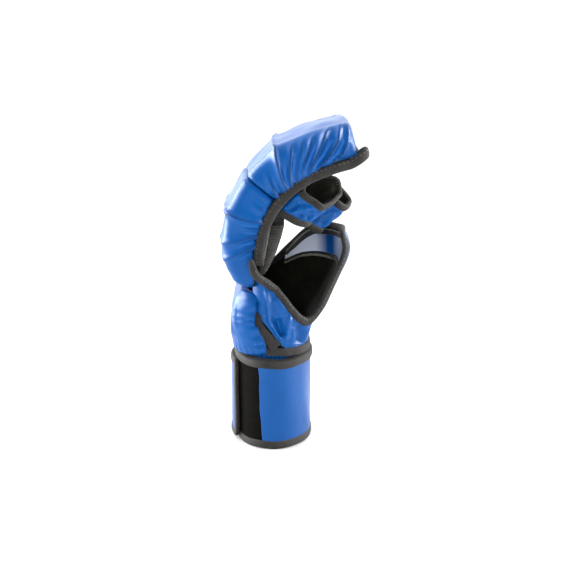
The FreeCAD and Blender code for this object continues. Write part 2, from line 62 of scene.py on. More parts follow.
def smooth(t):
    """Eased step from 0 to 1."""
    t = np.clip(t, 0.0, 1.0)
    return t * t * (3 - 2 * t)


def unit(v):
    v = np.asarray(v, float)
    return v / np.maximum(np.linalg.norm(v, axis=-1, keepdims=True), 1e-9)


def run_length(path):
    """Distance along a path at each of its points."""
    return np.concatenate([[0], np.cumsum(np.linalg.norm(np.diff(path, axis=0), axis=1))])


def spline(points, count, closed=False):
    """Points evenly spaced along a Catmull-Rom curve through the given ones."""
    p = np.array(points, float)
    ends = (p[-1], np.array([p[0], p[1]])) if closed else (2 * p[0] - p[1], 2 * p[-1] - p[-2])
    p = np.vstack([ends[0], p, ends[1]])
    t = np.linspace(0, 1, 24, endpoint=False)[:, None]
    fine = []
    for a, b, c, d in zip(p, p[1:], p[2:], p[3:]):
        square = 2 * a - 5 * b + 4 * c - d
        cube = 3 * b - a - 3 * c + d
        fine.append(0.5 * (2 * b + (c - a) * t + square * t**2 + cube * t**3))
    fine = np.vstack(fine + [p[-2]])
    length = run_length(fine)
    want = np.linspace(0, length[-1], count, endpoint=not closed)
    return np.stack([np.interp(want, length, fine[:, k]) for k in range(fine.shape[1])], 1)


def wobble(p, size, seed):
    """Smooth pseudo-random value, about -1 to 1, at points p; size is the length of one ripple."""
    draw = np.random.default_rng(seed)
    total = np.zeros(p.shape[:-1])
    for _ in range(9):
        direction = unit(draw.normal(size=3)) * (2 * math.pi / size) * draw.uniform(0.6, 1.5)
        total += np.sin(p @ direction + draw.uniform(0, 6.28))
    return total / 4.2


# ======== mesh building ========
def mesh_object(name, verts, faces, material, uvs=None):
    """A smooth-shaded object; uvs is one (u, v) in millimetres per vertex."""
    mesh = bpy.data.meshes.new(name)
    mesh.from_pydata((np.asarray(verts) * MM).tolist(), [], [tuple(int(i) for i in f) for f in faces])
    if uvs is not None:
        layer = mesh.uv_layers.new(name="run")
        corner = np.zeros(len(mesh.loops), int)
        mesh.loops.foreach_get("vertex_index", corner)
        layer.data.foreach_set("uv", (np.asarray(uvs)[corner] * MM).ravel())
    mesh.materials.append(material)
    mesh.polygons.foreach_set("use_smooth", [True] * len(mesh.polygons))
    mesh.validate()
    obj = bpy.data.objects.new(name, mesh)
    bpy.context.scene.collection.objects.link(obj)
    return obj


def add(obj, kind, **settings):
    modifier = obj.modifiers.new(kind.lower(), kind)
    for key, value in settings.items():
        setattr(modifier, key, value)
    return modifier


def bake(obj):
    """Puts the result of the modifiers into the mesh."""
    bpy.context.view_layer.update()
    made = bpy.data.meshes.new_from_object(obj.evaluated_get(bpy.context.evaluated_depsgraph_get()))
    obj.modifiers.clear()
    old, obj.data = obj.data, made
    made.name = obj.name
    bpy.data.meshes.remove(old)
    return obj


def seat(obj, body, *nodes):
    """Lets a piece ride on a body, and stand in for CAD nodes."""
    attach(obj, body)
    if nodes:
        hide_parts(*nodes)
    return obj


def grid_faces(rows, columns, wrap_rows=False, wrap_columns=False):
    """Quads between points stored row by row."""
    faces = []
    for i in range(rows if wrap_rows else rows - 1):
        for j in range(columns if wrap_columns else columns - 1):
            a, b = i * columns + j, i * columns + (j + 1) % columns
            c, d = ((i + 1) % rows) * columns + (j + 1) % columns, ((i + 1) % rows) * columns + j
            faces.append((a, b, c, d))
    return faces


def push(obj, distance):
    """Moves each vertex along its normal, in millimetres."""
    place, normal = np.zeros(len(distance) * 3), np.zeros(len(distance) * 3)
    obj.data.vertices.foreach_get("co", place)
    obj.data.vertex_normals.foreach_get("vector", normal)
    obj.data.vertices.foreach_set("co", place + normal * np.repeat(distance, 3) * MM)
    obj.data.update()


def sheet(name, points, material, thick, uvs=None, closed=False, inner_face=None):
    """A cloth-like panel from a grid of points (rows, columns, 3), given a thickness inwards."""
    faces = grid_faces(*points.shape[:2], False, closed)
    flat_uv = None if uvs is None else uvs.reshape(-1, 2)
    obj = mesh_object(name, points.reshape(-1, 3), faces, material, flat_uv)
    add(obj, "SUBSURF", levels=1, render_levels=1)
    if inner_face:
        obj.data.materials.append(inner_face)
    add(obj, "SOLIDIFY", thickness=thick * MM, offset=-1.0, material_offset=1 if inner_face else 0)
    return bake(obj)


def tube(name, rings, uvs, material, closed=False):
    """A skin over rings of points, with flat ends unless it runs round."""
    rows, columns = rings.shape[:2]
    faces = grid_faces(rows, columns, closed, True)
    if not closed:
        faces += [tuple(range(columns))[::-1], tuple(range((rows - 1) * columns, rows * columns))]
    return mesh_object(name, rings.reshape(-1, 3), faces, material, uvs.reshape(-1, 2))


def axes_along(path, normals, closed=False):
    """Unit normals square to a path, and its sideways direction."""
    tangent = unit(np.roll(path, -1, 0) - np.roll(path, 1, 0) if closed else np.gradient(path, axis=0))
    normals = unit(normals - tangent * np.sum(normals * tangent, 1, keepdims=True))
    return normals, np.cross(tangent, normals)


def sweep(name, path, normals, profile, material, closed=False, ribs=0.0, pitch=1.6, where=1.0, taper=1.0):
    """A band carried along a path. Its profile is (side, up) pairs, with up along the normal."""
    normals, side = axes_along(path, normals, closed)
    length, around = run_length(path), run_length(profile)
    lift = ribs * where * np.sin(2 * math.pi * length / pitch)
    grow = 1 + lift[:, None] / np.maximum(np.linalg.norm(profile, axis=1), 0.5)
    ring = profile * (grow * np.reshape(taper, (-1, 1)))[..., None]
    rings = path[:, None] + side[:, None] * ring[..., :1] + normals[:, None] * ring[..., 1:]
    uvs = np.stack(np.broadcast_arrays(length[:, None], around), -1)
    return tube(name, rings, uvs, material, closed)


# distance along one stitch, its size there, and how far it stands up
STITCH = [(0.0, 0.35, -0.30), (0.18, 0.95, -0.05), (0.82, 0.95, -0.05), (1.0, 0.35, -0.30)]


def stitches(name, path, normals, across, up, material, pitch=3.3, length=2.2, radius=0.27):
    """A row of separate thread stitches beside a path: across along the band's side, up along its normal."""
    normals, side = axes_along(path, normals)
    line = path + side * across + normals * up
    run = run_length(line)
    sides = 6
    verts, faces, uvs = [], [], []
    for begin in np.arange(pitch / 2, run[-1] - length, pitch):
        first = len(verts)
        for t, size, sink in STITCH:
            at = begin + t * length
            centre, n, d = ([np.interp(at, run, q[:, k]) for k in range(3)] for q in (line, normals, side))
            for q in np.linspace(0, 2 * math.pi, sides, endpoint=False):
                rise, aside = sink + radius * size * math.sin(q), radius * size * math.cos(q)
                verts.append([c + a * rise + b * aside for c, a, b in zip(centre, n, d)])
                uvs.append((at, q * radius))
        quads = grid_faces(len(STITCH), sides, False, True)
        faces += [(first + a, first + d, first + c, first + b) for a, b, c, d in quads]
        faces += [tuple(range(first, first + sides))[::-1], tuple(range(len(verts) - sides, len(verts)))]
    return mesh_object(name, np.array(verts), faces, material, np.array(uvs))


def oval_profile(width, height, power=2.6, count=18):
    """Rounded-rectangle cross-section."""
    a = np.linspace(0, 2 * math.pi, count, endpoint=False)
    c, s = np.cos(a), np.sin(a)
    return np.stack([
        width / 2 * np.sign(c) * np.abs(c) ** (2 / power),
        height / 2 * np.sign(s) * np.abs(s) ** (2 / power),
    ], 1)


# ======== materials ========
class Nodes:
    """Short-hand for building one node material."""

    def __init__(self, name):
        self.material = bpy.data.materials.new(name)
        self.material.use_nodes = True
        self.tree = self.material.node_tree
        self.shader = self.tree.nodes["Principled BSDF"]
        self.where = self.add("TexCoord").outputs["Object"]

    def add(self, kind, **inputs):
        node = self.tree.nodes.new("ShaderNode" + kind)
        for key, value in inputs.items():
            if hasattr(node, key):
                setattr(node, key, value)
            else:
                self.feed(node.inputs[key.replace("_", " ")], value)
        return node

    def feed(self, socket, value):
        if isinstance(value, bpy.types.NodeSocket):
            self.tree.links.new(value, socket)
        else:
            socket.default_value = value

    def maths(self, operation, a, b=0.0):
        node = self.add("Math", operation=operation)
        self.feed(node.inputs[0], a)
        self.feed(node.inputs[1], b)
        return node.outputs[0]

    def mix(self, share, a, b):
        node = self.add("Mix", data_type="RGBA")
        self.feed(node.inputs["Factor"], share)
        self.feed(node.inputs[6], a)
        self.feed(node.inputs[7], b)
        return node.outputs[2]

    def remap(self, value, low, high, to_low, to_high):
        node = self.add("MapRange")
        for k, v in enumerate((value, low, high, to_low, to_high)):
            self.feed(node.inputs[k], v)
        return node.outputs[0]

    def noise(self, scale, detail, **more):
        return self.add("TexNoise", Vector=self.where, Scale=scale, Detail=detail, **more).outputs["Fac"]

    def cells(self, scale, **more):
        return self.add("TexVoronoi", Vector=self.where, Scale=scale, **more).outputs["Distance"]

    def blend(self, a, a_share, b, b_share):
        return self.maths("ADD", self.maths("MULTIPLY", a, a_share), self.maths("MULTIPLY", b, b_share))

    def surface(self, **inputs):
        for key, value in inputs.items():
            self.feed(self.shader.inputs[key.replace("_", " ")], value)

    def bump(self, height, strength, distance, base=None):
        node = self.add("Bump", Strength=strength, Distance=distance, Height=height)
        if base is not None:
            self.feed(node.inputs["Normal"], base)
        return node.outputs["Normal"]


def shade(colour, times, plus=0.0):
    return *(min(1.0, c * times + plus) for c in colour), 1


def leather(name, colour, deep, rough):
    """Glossy synthetic leather: fine grain, faint mottling, duller creases, with painted shade in the creases
    and painted highlights on the ridges.
    """
    n = Nodes(name)
    cloud = n.noise(38.0, 4.0)
    grain = n.cells(1150.0)
    pores = n.noise(2600.0, 2.0)
    rumple = n.noise(120.0, 3.0, Roughness=0.45)
    ridge = n.remap(n.add("NewGeometry").outputs["Pointiness"], 0.43, 0.57, 0.0, 1.0)
    base = n.mix(n.remap(cloud, 0.3, 0.7, 0.0, 0.5), shade(colour, 1), shade(deep, 1))
    # painted shade: the creases, where pointiness is low, are darkened
    base = n.mix(n.remap(ridge, 0.0, 0.46, 0.85, 0.0), base, shade(deep, 0.3))
    # painted highlight: the ridges, where pointiness is high, are lightened
    base = n.mix(n.remap(ridge, 0.54, 1.0, 0.0, 0.55), base, shade(colour, 2.0, 0.06))
    n.surface(Base_Color=base, Specular_IOR_Level=0.16)
    n.surface(Roughness=n.maths("ADD", n.remap(cloud, 0.3, 0.7, rough - 0.04, rough + 0.06),
                                n.remap(ridge, 0.0, 0.5, 0.14, 0.0)))
    fine = n.bump(n.blend(grain, 0.7, pores, 0.3), 0.16, 0.0002)
    n.surface(Normal=n.bump(rumple, 0.22, 0.0012, fine), Coat_Weight=0.06, Coat_Roughness=0.22)
    return n.material


def leather_with_painted_sheen(material):
    """Paints a pale reflection into the leather's colour on the part that lies nearer the back of the hand,
    and a painted highlight on the end that lies furthest towards the palm.
    """
    n = Nodes.__new__(Nodes)
    n.material, n.tree = material, material.node_tree
    n.shader = n.tree.nodes["Principled BSDF"]
    x = n.add("SeparateXYZ", Vector=n.add("TexCoord").outputs["Object"]).outputs[0]
    old = n.shader.inputs["Base Color"].links[0].from_socket
    # painted reflection: a pale colour on the part towards the back of the hand
    painted_sheen = n.remap(x, 0.034, 0.043, 0.85, 0.0)
    # painted highlight: the end towards the palm is lightened
    corner = n.remap(x, 0.047, 0.052, 0.0, 0.6)
    n.surface(Base_Color=n.mix(n.maths("MAXIMUM", painted_sheen, corner), old, (0.80, 0.86, 1.0, 1)))
    return material


def cloth(n, tone, dark, light, colour, height, strength, depth, **surface):
    """A two-tone cloth with a bumpy face."""
    base = n.mix(tone, shade(colour, dark), shade(colour, light))
    n.surface(Base_Color=base, Normal=n.bump(height, strength, depth), **surface)
    return n.material


def tape_material(name, colour):
    """Ribbed bias tape: ribs across its run, a fine weave, slightly fuzzy."""
    n = Nodes(name)
    uv = n.add("UVMap", uv_map="run").outputs[0]
    parts = n.add("SeparateXYZ", Vector=uv)
    along = n.maths("SINE", n.maths("MULTIPLY", parts.outputs[0], 2 * math.pi / 0.00115))
    across = n.maths("SINE", n.maths("MULTIPLY", parts.outputs[1], 2 * math.pi / 0.00085))
    cloud = n.noise(160.0, 4.0)
    fuzz = n.noise(2200.0, 3.0)
    weave = n.blend(along, 0.55, across, 0.3)
    tone = n.maths("ADD", n.remap(weave, -0.8, 0.8, 0.0, 0.55), n.remap(cloud, 0.3, 0.7, 0.0, 0.45))
    height = n.maths("ADD", n.remap(weave, -0.85, 0.85, 0.0, 0.8), n.maths("MULTIPLY", fuzz, 0.35))
    n.surface(Roughness=0.78, Specular_IOR_Level=0.2)
    n.surface(Sheen_Weight=0.10, Sheen_Roughness=0.45, Sheen_Tint=(0.8, 0.8, 0.78, 1))
    return cloth(n, tone, 0.45, 1.5, colour, height, 0.7, 0.00035)


def mesh_cloth(name, colour):
    """Spacer-mesh lining: rows of small dimples in a dull black knit."""
    n = Nodes(name)
    cells = n.cells(620.0, Randomness=0.25)
    cloud = n.noise(90.0, 3.0)
    fuzz = n.noise(2400.0, 2.0)
    tone = n.maths("ADD", n.remap(cells, 0.1, 0.6, 0.0, 0.6), n.remap(cloud, 0.35, 0.7, 0.0, 0.4))
    n.surface(Roughness=0.92, Sheen_Weight=0.04, Sheen_Roughness=0.5, Specular_IOR_Level=0.1)
    return cloth(n, tone, 0.35, 1.6, colour, n.blend(cells, 0.8, fuzz, 0.3), 0.8, 0.0004)


def pile(name, colour, size):
    """Hook-and-loop face: a dense scatter of tiny loops."""
    n = Nodes(name)
    curls = n.cells(1.0 / size, Randomness=1.0, feature="SMOOTH_F1")
    fuzz = n.noise(0.8 / size, 5.0, Roughness=0.7)
    cloud = n.noise(70.0, 2.0)
    tone = n.maths("ADD", n.remap(fuzz, 0.3, 0.75, 0.0, 0.7), n.remap(cloud, 0.3, 0.7, 0.0, 0.3))
    n.surface(Roughness=0.95, Sheen_Weight=0.01, Sheen_Roughness=0.6, Specular_IOR_Level=0.02)
    return cloth(n, tone, 0.4, 1.8, colour, n.maths("ADD", curls, fuzz), 0.9, 0.0006)


def thread(name, colour):
    """Twisted sewing thread."""
    n = Nodes(name)
    twist = n.noise(3200.0, 2.0)
    return cloth(n, twist, 0.6, 1.3, colour, twist, 0.5, 0.0002, Roughness=0.55, Sheen_Weight=0.2)


BLUE_TONES = (0.002, 0.082, 0.315), (0.001, 0.058, 0.240)
BLUE = leather("blue_leather", *BLUE_TONES, 0.38)
LINING = mesh_cloth("black_lining", (0.007, 0.007, 0.005))
TAPE = tape_material("edge_tape", (0.027, 0.025, 0.023))
LOOP_PILE = pile("loop_tape", (0.003, 0.0027, 0.0022), 0.0007)
HOOK_PILE = pile("hook_tape", (0.010, 0.010, 0.010), 0.0011)
RIB = tape_material("ribbed_knit", (0.045, 0.045, 0.041))
PIPING = tape_material("pale_piping", (0.22, 0.22, 0.21))
# a pale pile band that stands for light on the lining's rounded top edge: painted highlight
LINING_EDGE_HIGHLIGHT = pile("lining_edge", (0.16, 0.16, 0.135), 0.0008)
# the facing's leather carries a painted reflection and a painted highlight in its colour
FACING = leather_with_painted_sheen(leather("facing_leather", *BLUE_TONES, 0.38))
THREAD = thread("grey_thread", (0.050, 0.048, 0.045))


# ======== main pad ========
FOOT_X, FOOT_Z = -13.3, 148.0
R1, TURN1 = 70.0, math.radians(66.0)
R2, TURN2 = 130.0, math.radians(10.0)
PAD_START, PAD_STOP = -22.0, 110.0
SPLIT = 47.0                   # where the lower cover ends and the upper one starts
SKIN, KNIT = 1.1, 0.8          # thickness of the leather and of the lining


def pad_line(s):
    """Point (x, z) and outward normal (x, z) on the pad's lining line, at distances s."""
    s = np.asarray(s, float)
    a1 = np.clip(s / R1, 0.0, TURN1)
    x = FOOT_X + R1 * (1 - np.cos(a1))
    z = FOOT_Z + R1 * np.sin(a1)
    a2 = np.clip((s - R1 * TURN1) / R2, 0.0, TURN2)
    x = x + R2 * (np.cos(TURN1) - np.cos(TURN1 + a2))
    z = z + R2 * (np.sin(TURN1 + a2) - np.sin(TURN1))
    turn = a1 + a2
    rest = np.maximum(s - R1 * TURN1 - R2 * TURN2, 0.0)
    x = x + rest * np.sin(turn)
    z = z + np.minimum(s, 0.0) + rest * np.cos(turn)
    return np.stack([x, z], -1), np.stack([-np.cos(turn), np.sin(turn)], -1)


def pad_place(s, y, n):
    """Points at distance s along the pad, y across it and n above its lining line."""
    point, out = pad_line(s)
    n = np.asarray(n, float)
    x = point[..., 0] + out[..., 0] * n
    z = point[..., 1] + out[..., 1] * n
    return np.stack([x, np.asarray(y, float) + 0 * n, z], -1)


# thickness and half width at distances along the pad
PAD_T = [(-22, 12.0), (-17, 16.5), (-8, 20.5), (0, 22.3), (20, 24.6), (45, 26.5), (70, 26.8), (90, 26.0)]
PAD_T += [(112, 25.0)]
PAD_W = [(-22, 46.5), (-12, 49.0), (0, 50.5), (30, 54.0), (70, 55.0), (100, 53.5), (110, 52.0)]
SHOULDER = 9.0
CROWN = 2.0
EDGE_TUCK = 3.2        # how far the sides pull in at the bound edge
UNDER = 16             # points along the underside of a section

# each fold: (distance along the lining, height up the side) points, depth at those points,
# width of the valley, pillow width beside it
FOLDS = [
    ([(18.5, 0), (14.7, 7), (11.0, 16), (9.6, 24)], [1.8, 1.2, 0.9, 0.9], 1.0, 4.5),
    ([(10.6, 0), (7.0, 6), (4.2, 11), (1.1, 19), (0.0, 26)], [1.8, 1.3, 0.9, 0.6, 0.5], 1.1, 4.5),
    ([(28.9, 0), (26.5, 10), (26.0, 16), (26.5, 25)], [1.6, 1.3, 1.5, 1.7], 0.9, 5.0),
    ([(23.4, 0), (21.5, 8), (20.5, 16)], [1.5, 0.8, 0.0], 0.9, 3.5),
    ([(36.5, 0), (36.0, 7), (36.2, 13)], [0.9, 0.5, 0.0], 1.2, 4.0),
    ([(50.5, 0), (52.6, 6), (54.6, 11), (57.2, 20)], [1.5, 1.2, 0.9, 0.0], 1.2, 4.0),
    ([(55.5, 0), (57.0, 6), (58.4, 12), (60.5, 18)], [1.4, 0.9, 0.5, 0.0], 1.0, 3.0),
    ([(59.5, 0), (61.4, 8), (65.0, 18), (68.5, 26)], [1.9, 1.7, 1.7, 1.8], 0.9, 5.5),
    ([(63.0, 0), (69.3, 10), (74.5, 19), (77.5, 26)], [1.7, 1.6, 1.1, 0.0], 1.2, 4.0),
    ([(67.5, 0), (75.0, 9), (80.5, 18), (83.5, 25)], [1.7, 1.5, 1.0, 0.0], 1.2, 4.0),
    ([(71.5, 0), (79.5, 9), (86.8, 18), (91.0, 25)], [1.8, 1.8, 1.4, 0.0], 1.3, 4.5),
    ([(76.5, 0), (87.0, 9), (96.0, 19), (101.0, 27)], [1.9, 2.2, 1.9, 0.4], 1.5, 5.5),
    ([(82.0, 0), (96.0, 7), (103.5, 15), (107.5, 24)], [1.6, 2.3, 2.2, 0.8], 1.5, 5.5),
    ([(91.0, 0), (104.0, 5), (109.5, 12), (112.5, 21)], [1.2, 1.6, 1.4, 0.6], 1.2, 4.0),
]
CROSSING = (9.8, 0.0, 26.5, 68.5)  # folds that run on across the back of the pad
FOLD_GAIN = 2.0
# strength of the small ripples by the bound edge, along the pad
EDGE_RIPPLES = [(-22, 0.2), (5, 0.5), (14, 1.0), (32, 1.0), (44, 0.45), (58, 0.8), (85, 0.8), (100, 0.3)]
EDGE_RIPPLES += [(112, 0.2)]


def pad_relief(s, h, side, seed):
    """How far the leather stands in or out at (s, height up the side); side is -1 thumb, 1 little finger."""
    relief = np.zeros(len(s))
    shift = np.where(side < 0, 0.0, 1.0)
    for k, (line, depths, width, pillow) in enumerate(FOLDS):
        heights = [q[1] for q in line]
        draw = np.random.default_rng(100 + k)
        fade = np.clip(1 - h / 18.0, 0, 1)
        centre = np.interp(h, heights, [q[0] for q in line]) + shift * fade * draw.uniform(-2.5, 2.5)
        crosses = any(abs(line[-1][0] - c) < 0.6 for c in CROSSING)
        beyond = [(heights[-1] + 7, 0.0)]
        if crosses:
            beyond = [(heights[-1] + 8, depths[-1] * 0.8), (90, depths[-1] * 0.75)]
        depth = lerp(list(zip(heights, depths)) + beyond, h) * (1 + shift * draw.uniform(-0.25, 0.15))
        x = s - centre
        valley = np.where(x > 0, np.exp(-((x / width) ** 2)), np.exp(-((x / (width * 1.9)) ** 2)))
        relief -= FOLD_GAIN * depth * (0.75 * valley + 0.45 * np.exp(-((x / pillow) ** 2)))
        swell = 0.42 * (1 - 0.9 * smooth((h - 9.0) / 8.0))
        relief += FOLD_GAIN * depth * swell * np.exp(-(((x + 0.95 * pillow) / (0.42 * pillow)) ** 2))
    near = np.exp(-h / 4.2)
    pitch = 2.3 + 0.5 * np.sin(s * 0.21 + 1.3 + 2 * shift)
    ripple = np.sin(2 * math.pi * s / pitch + 1.7 * np.sin(s * 0.4 + seed + shift))
    relief += 0.42 * lerp(EDGE_RIPPLES, s) * near * ripple * np.clip(h / 1.2, 0, 1)
    return relief


def pad_section(s, inset):
    """Points (y, n) and heights round one section: up the thumb side, over and back under."""
    t = float(lerp(PAD_T, s)) - inset
    w = float(lerp(PAD_W, s)) - inset
    r = max(min(SHOULDER, t - 1.0), 1.0)
    low = min(inset, 3.0) * 0.25
    wall = t - r - low
    flat = w - r

    def edge(side, q):
        return side * (w - EDGE_TUCK * np.exp(-wall * q / 3.0)), low + wall * q, wall * q

    def shoulder(side, a):
        return side * (w - r * (1 - np.cos(a))), t - r + r * np.sin(a), wall + r * a

    up = np.linspace(0, 1, 13)[:-1]
    turn = np.linspace(0, math.pi / 2, 9)
    q = np.linspace(-1, 1, 46)
    back = flat * q, t + CROWN * (1 - q * q) ** 1.2, wall + r * math.pi / 2 + flat * (1 - abs(q))
    q = np.linspace(1, -1, UNDER + 2)[1:-1]
    under = q * (w - EDGE_TUCK), 0 * q + low, 0 * q
    parts = [edge(-1, up), shoulder(-1, turn[:-1]), back, shoulder(1, turn[:0:-1]), edge(1, up[::-1]), under]
    return [np.concatenate(values) for values in zip(*parts)]


def pad_cover(name, s0, s1, round0, round1, seed):
    """One closed leather cover from s0 to s1; each end is rounded by its radius."""
    bend = np.linspace(math.pi / 2, 0, 9)
    inner = np.arange(s0 + round0, s1 - round1, 0.95)
    stations = [s0 + round0 * (1 - np.sin(bend[:-1])), inner, s1 - round1 * (1 - np.sin(bend[::-1]))]
    insets = [round0 * (1 - np.cos(bend[:-1])), 0 * inner, round1 * (1 - np.cos(bend[::-1]))]
    verts, relief = [], []
    for s, inset in zip(np.concatenate(stations), np.concatenate(insets)):
        y, n, h = pad_section(s, inset)
        ss = np.full(len(y), s)
        verts.append(pad_place(ss, y, n))
        soft = 1.0 if inset < 0.2 else max(0.0, 1 - inset / 3.0)
        slack = 0.7 * wobble(np.stack([ss, y, n], 1), 34.0, 60 + seed) * smooth((h - 10.0) / 10.0)
        amount = (pad_relief(ss, h, np.where(y < 0, -1.0, 1.0), seed) + slack) * soft
        amount[-UNDER:] = 0.0
        relief.append(amount)
    rows, columns = len(verts), len(verts[0])

    def cap(ring):
        """Rings that close an end towards the middle of the section."""
        middle = ring.mean(0)
        half = 0.5 * np.ptp(ring[:, 1])
        tall = np.linalg.norm(ring[40] - ring[-8]) / 2  # from the middle of the back to that of the underside
        spine = np.repeat(middle[None], len(ring), 0)
        spine[:, 1] = np.clip(ring[:, 1], middle[1] - half + tall, middle[1] + half - tall)
        return [ring + (spine - ring) * t for t in (0.3, 0.6, 0.85, 1.0)]

    start, end = cap(verts[0])[::-1], cap(verts[-1])
    verts = np.vstack(start + verts + end)
    relief = np.concatenate([np.zeros(4 * columns)] + relief + [np.zeros(4 * columns)])
    obj = mesh_object(name, verts, grid_faces(rows + 8, columns, False, True), BLUE)
    push(obj, relief)
    add(obj, "WELD", merge_threshold=0.02 * MM)
    add(obj, "SUBSURF", levels=1, render_levels=1)
    return bake(obj)


def flex(obj):
    """Bakes the placement of a piece of the pad into its mesh."""
    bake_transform(obj)


lower_pad = pad_cover("main_pad_lower", PAD_START, SPLIT - 0.15, 5.5, 3.0, 1)
upper_pad = pad_cover("main_pad_upper", SPLIT + 0.15, PAD_STOP + 5.0, 3.0, 4.5, 2)
flex(lower_pad)
flex(upper_pad)
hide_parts("hand_pad_cover", "hand_pad_foam", "knuckle_pad_cover", "knuckle_pad_foam")
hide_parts("finger_pad_cover", "finger_pad_foam")


def pad_binding(name, s0, s1, side):
    """The bound seam under one edge of the pad, with its row of stitches."""
    s = np.linspace(s0, s1, int((s1 - s0) / 0.8))
    w = lerp(PAD_W, s) + 0.4
    path = pad_place(s, side * (w - 2.1), np.full(len(s), -3.6))
    normals = np.zeros_like(path)
    normals[:, 1] = side
    tape = sweep(name, path, normals, oval_profile(7.2, 4.4), TAPE, ribs=0.06, pitch=1.3)
    return tape, stitches(name + "_stitches", path, normals, side * 2.0, 1.95, THREAD)


for side, label in ((-1, "thumb"), (1, "little")):
    piece, row = pad_binding("pad_binding_lower_" + label, -4.0 if side < 0 else PAD_START, SPLIT, side)
    flex(piece)
    flex(row)
    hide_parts("hand_" + label + "_binding", "knuckle_" + label + "_binding")

# ---- bound edge of the upper stretch, round the tip in one run, with a turned-out ear at each corner
run = np.linspace(SPLIT, PAD_STOP - 2.0, 80)
near = [(s, -(float(lerp(PAD_W, s)) - 1.7), -3.6) for s in run]
tip = [(111.5, -50.4, -2.8), (116.5, -50.0, -1.0), (120.6, -48.0, 1.0), (121.0, -44.8, 2.0)]
tip += [(118.6, -41.5, 1.0), (116.8, -34.0, -1.2)] + [(116.2, y, -1.8) for y in (-20.0, 0.0, 20.0)]
tip += [(116.0, 38.0, -1.8), (115.2, 45.5, -2.2), (112.0, 49.8, -2.8)]
far = [(s, float(lerp(PAD_W, s)) - 1.7, -3.6) for s in run[::-1]]
line = spline(np.array(near + tip + far), 560)
path = pad_place(line[:, 0], line[:, 1], line[:, 2])
ahead = unit(pad_place(110.0, 0, 0) - pad_place(105.0, 0, 0))
turned = smooth((line[:, 0] - 111.0) / 5.0) * smooth((50.4 - np.abs(line[:, 1])) / 4.0)
sideways = np.sign(line[:, 1:2]) * [[0, 1.0, 0]]
normals = sideways * (1 - turned)[:, None] + ahead[None] * turned[:, None]
piece = sweep("pad_binding_upper", path, normals, oval_profile(7.2, 4.0), TAPE, ribs=0.06, pitch=1.3)
flex(piece)
flex(stitches("pad_binding_upper_stitches", path, normals, -2.0, 1.8, THREAD))
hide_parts("finger_binding")


def pad_lining(name, s0, s1, nodes):
    """The lining under one stretch of the pad, a little slack between its edges."""
    s, q = np.meshgrid(np.linspace(s0, s1, int((s1 - s0) / 2.0)), np.linspace(-1, 1, 50), indexing="ij")
    y = q * (lerp(PAD_W, s) - 3.4)
    sag = -0.3 - 0.5 * (1 - q**2) - 0.25 * wobble(np.stack([s, y, 0 * s], -1), 22.0, 5) * (1 - q**6)
    obj = sheet(name, pad_place(s, y, sag), LINING, KNIT)
    flex(obj)
    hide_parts(*nodes)


pad_lining("pad_lining_lower", PAD_START + 0.5, SPLIT - 0.1, ["hand_lining", "knuckle_lining"])
pad_lining("pad_lining_upper", SPLIT + 0.1, PAD_STOP, ["finger_lining"])


# ======== hand sleeve ========
# height, back x, palm x, half width, palm corner radius of the cavity
SLEEVE = [
    (70.0, -24.0, 22.5, 36.5, 18.0),
    (77.0, -21.5, 23.5, 38.0, 18.0),
    (85.0, -18.0, 25.0, 39.0, 18.0),
    (96.0, -14.5, 28.5, 40.0, 19.0),
    (110.0, -12.5, 37.5, 41.0, 20.0),
    (128.0, -12.0, 46.0, 41.0, 21.0),
    (145.0, -12.0, 53.0, 41.5, 21.0),
    (156.0, -12.0, 54.0, 42.0, 21.0),
    (167.0, -12.0, 47.0, 42.0, 21.0),
]
SLEEVE_ROWS = spline(SLEEVE, 200)
BACK_R = 8.0
GIRTH = 120.0          # girth positions run from 0 at the back to -120 (thumb way) or 120 (little way)
WRAP = 2 * GIRTH
SLEEVE_FOOT = 77.6
LEATHER_OUT, LINING_OUT = 2.3, 1.0      # outer faces of the leather and the lining, outside the cavity
# the rim at the thumb side and at the little-finger side, as (x, z), and over the palm, as (y, z)
THUMB_RIM = [(-9.5, 141.0), (-4.0, 132.6), (2.0, 124.6), (8.0, 116.8), (13.8, 108.6), (19.5, 101.8)]
LITTLE_RIM = [(-9.5, 122.5), (1.0, 128.5), (11.0, 138.5), (21.0, 148.5), (28.0, 154.5), (36.0, 158.0)]
PALM_TOP = [(-30, 165.0), (28, 158.0)]


def wall(girth, z, out):
    """Points on the sleeve at girth positions and heights, out mm outside the cavity."""
    g = (np.asarray(girth, float) / GIRTH + 1) % 2 - 1
    z = np.asarray(z, float)
    x0, x1, b, r = (np.interp(z, SLEEVE_ROWS[:, 0], SLEEVE_ROWS[:, k]) for k in (1, 2, 3, 4))
    x0, x1, b, r, rb = x0 - out, x1 + out, b + out, r + out, BACK_R + out
    back, flank, palm = b - rb, x1 - r - x0 - rb, b - r
    corner_b, corner_p = rb * math.pi / 2, r * math.pi / 2
    d = np.abs(g) * (back + corner_b + flank + corner_p + palm)
    turn_b = np.clip((d - back) / rb, 0, math.pi / 2)
    turn_p = np.clip((d - back - corner_b - flank) / r, 0, math.pi / 2)
    x = x0 + rb * (1 - np.cos(turn_b)) + np.clip(d - back - corner_b, 0, flank) + r * np.sin(turn_p)
    over = np.maximum(d - back - corner_b - flank - corner_p, 0)
    y = np.minimum(d, back) + rb * np.sin(turn_b) - r * (1 - np.cos(turn_p)) - over
    return np.stack(np.broadcast_arrays(x, np.sign(g) * y, z), -1)


def on_wall(line, out):
    """The same for a line or grid of (girth, z)."""
    return wall(line[..., 0], line[..., 1], out)


def girth_x(x, z, side):
    """Girth position on the thumb (-1) or little-finger (1) side where the sleeve reaches x."""
    g = np.linspace(0.02, 1.0, 400) * GIRTH
    return side * float(np.interp(x, wall(g, np.full(400, z), 0.0)[:, 0], g))


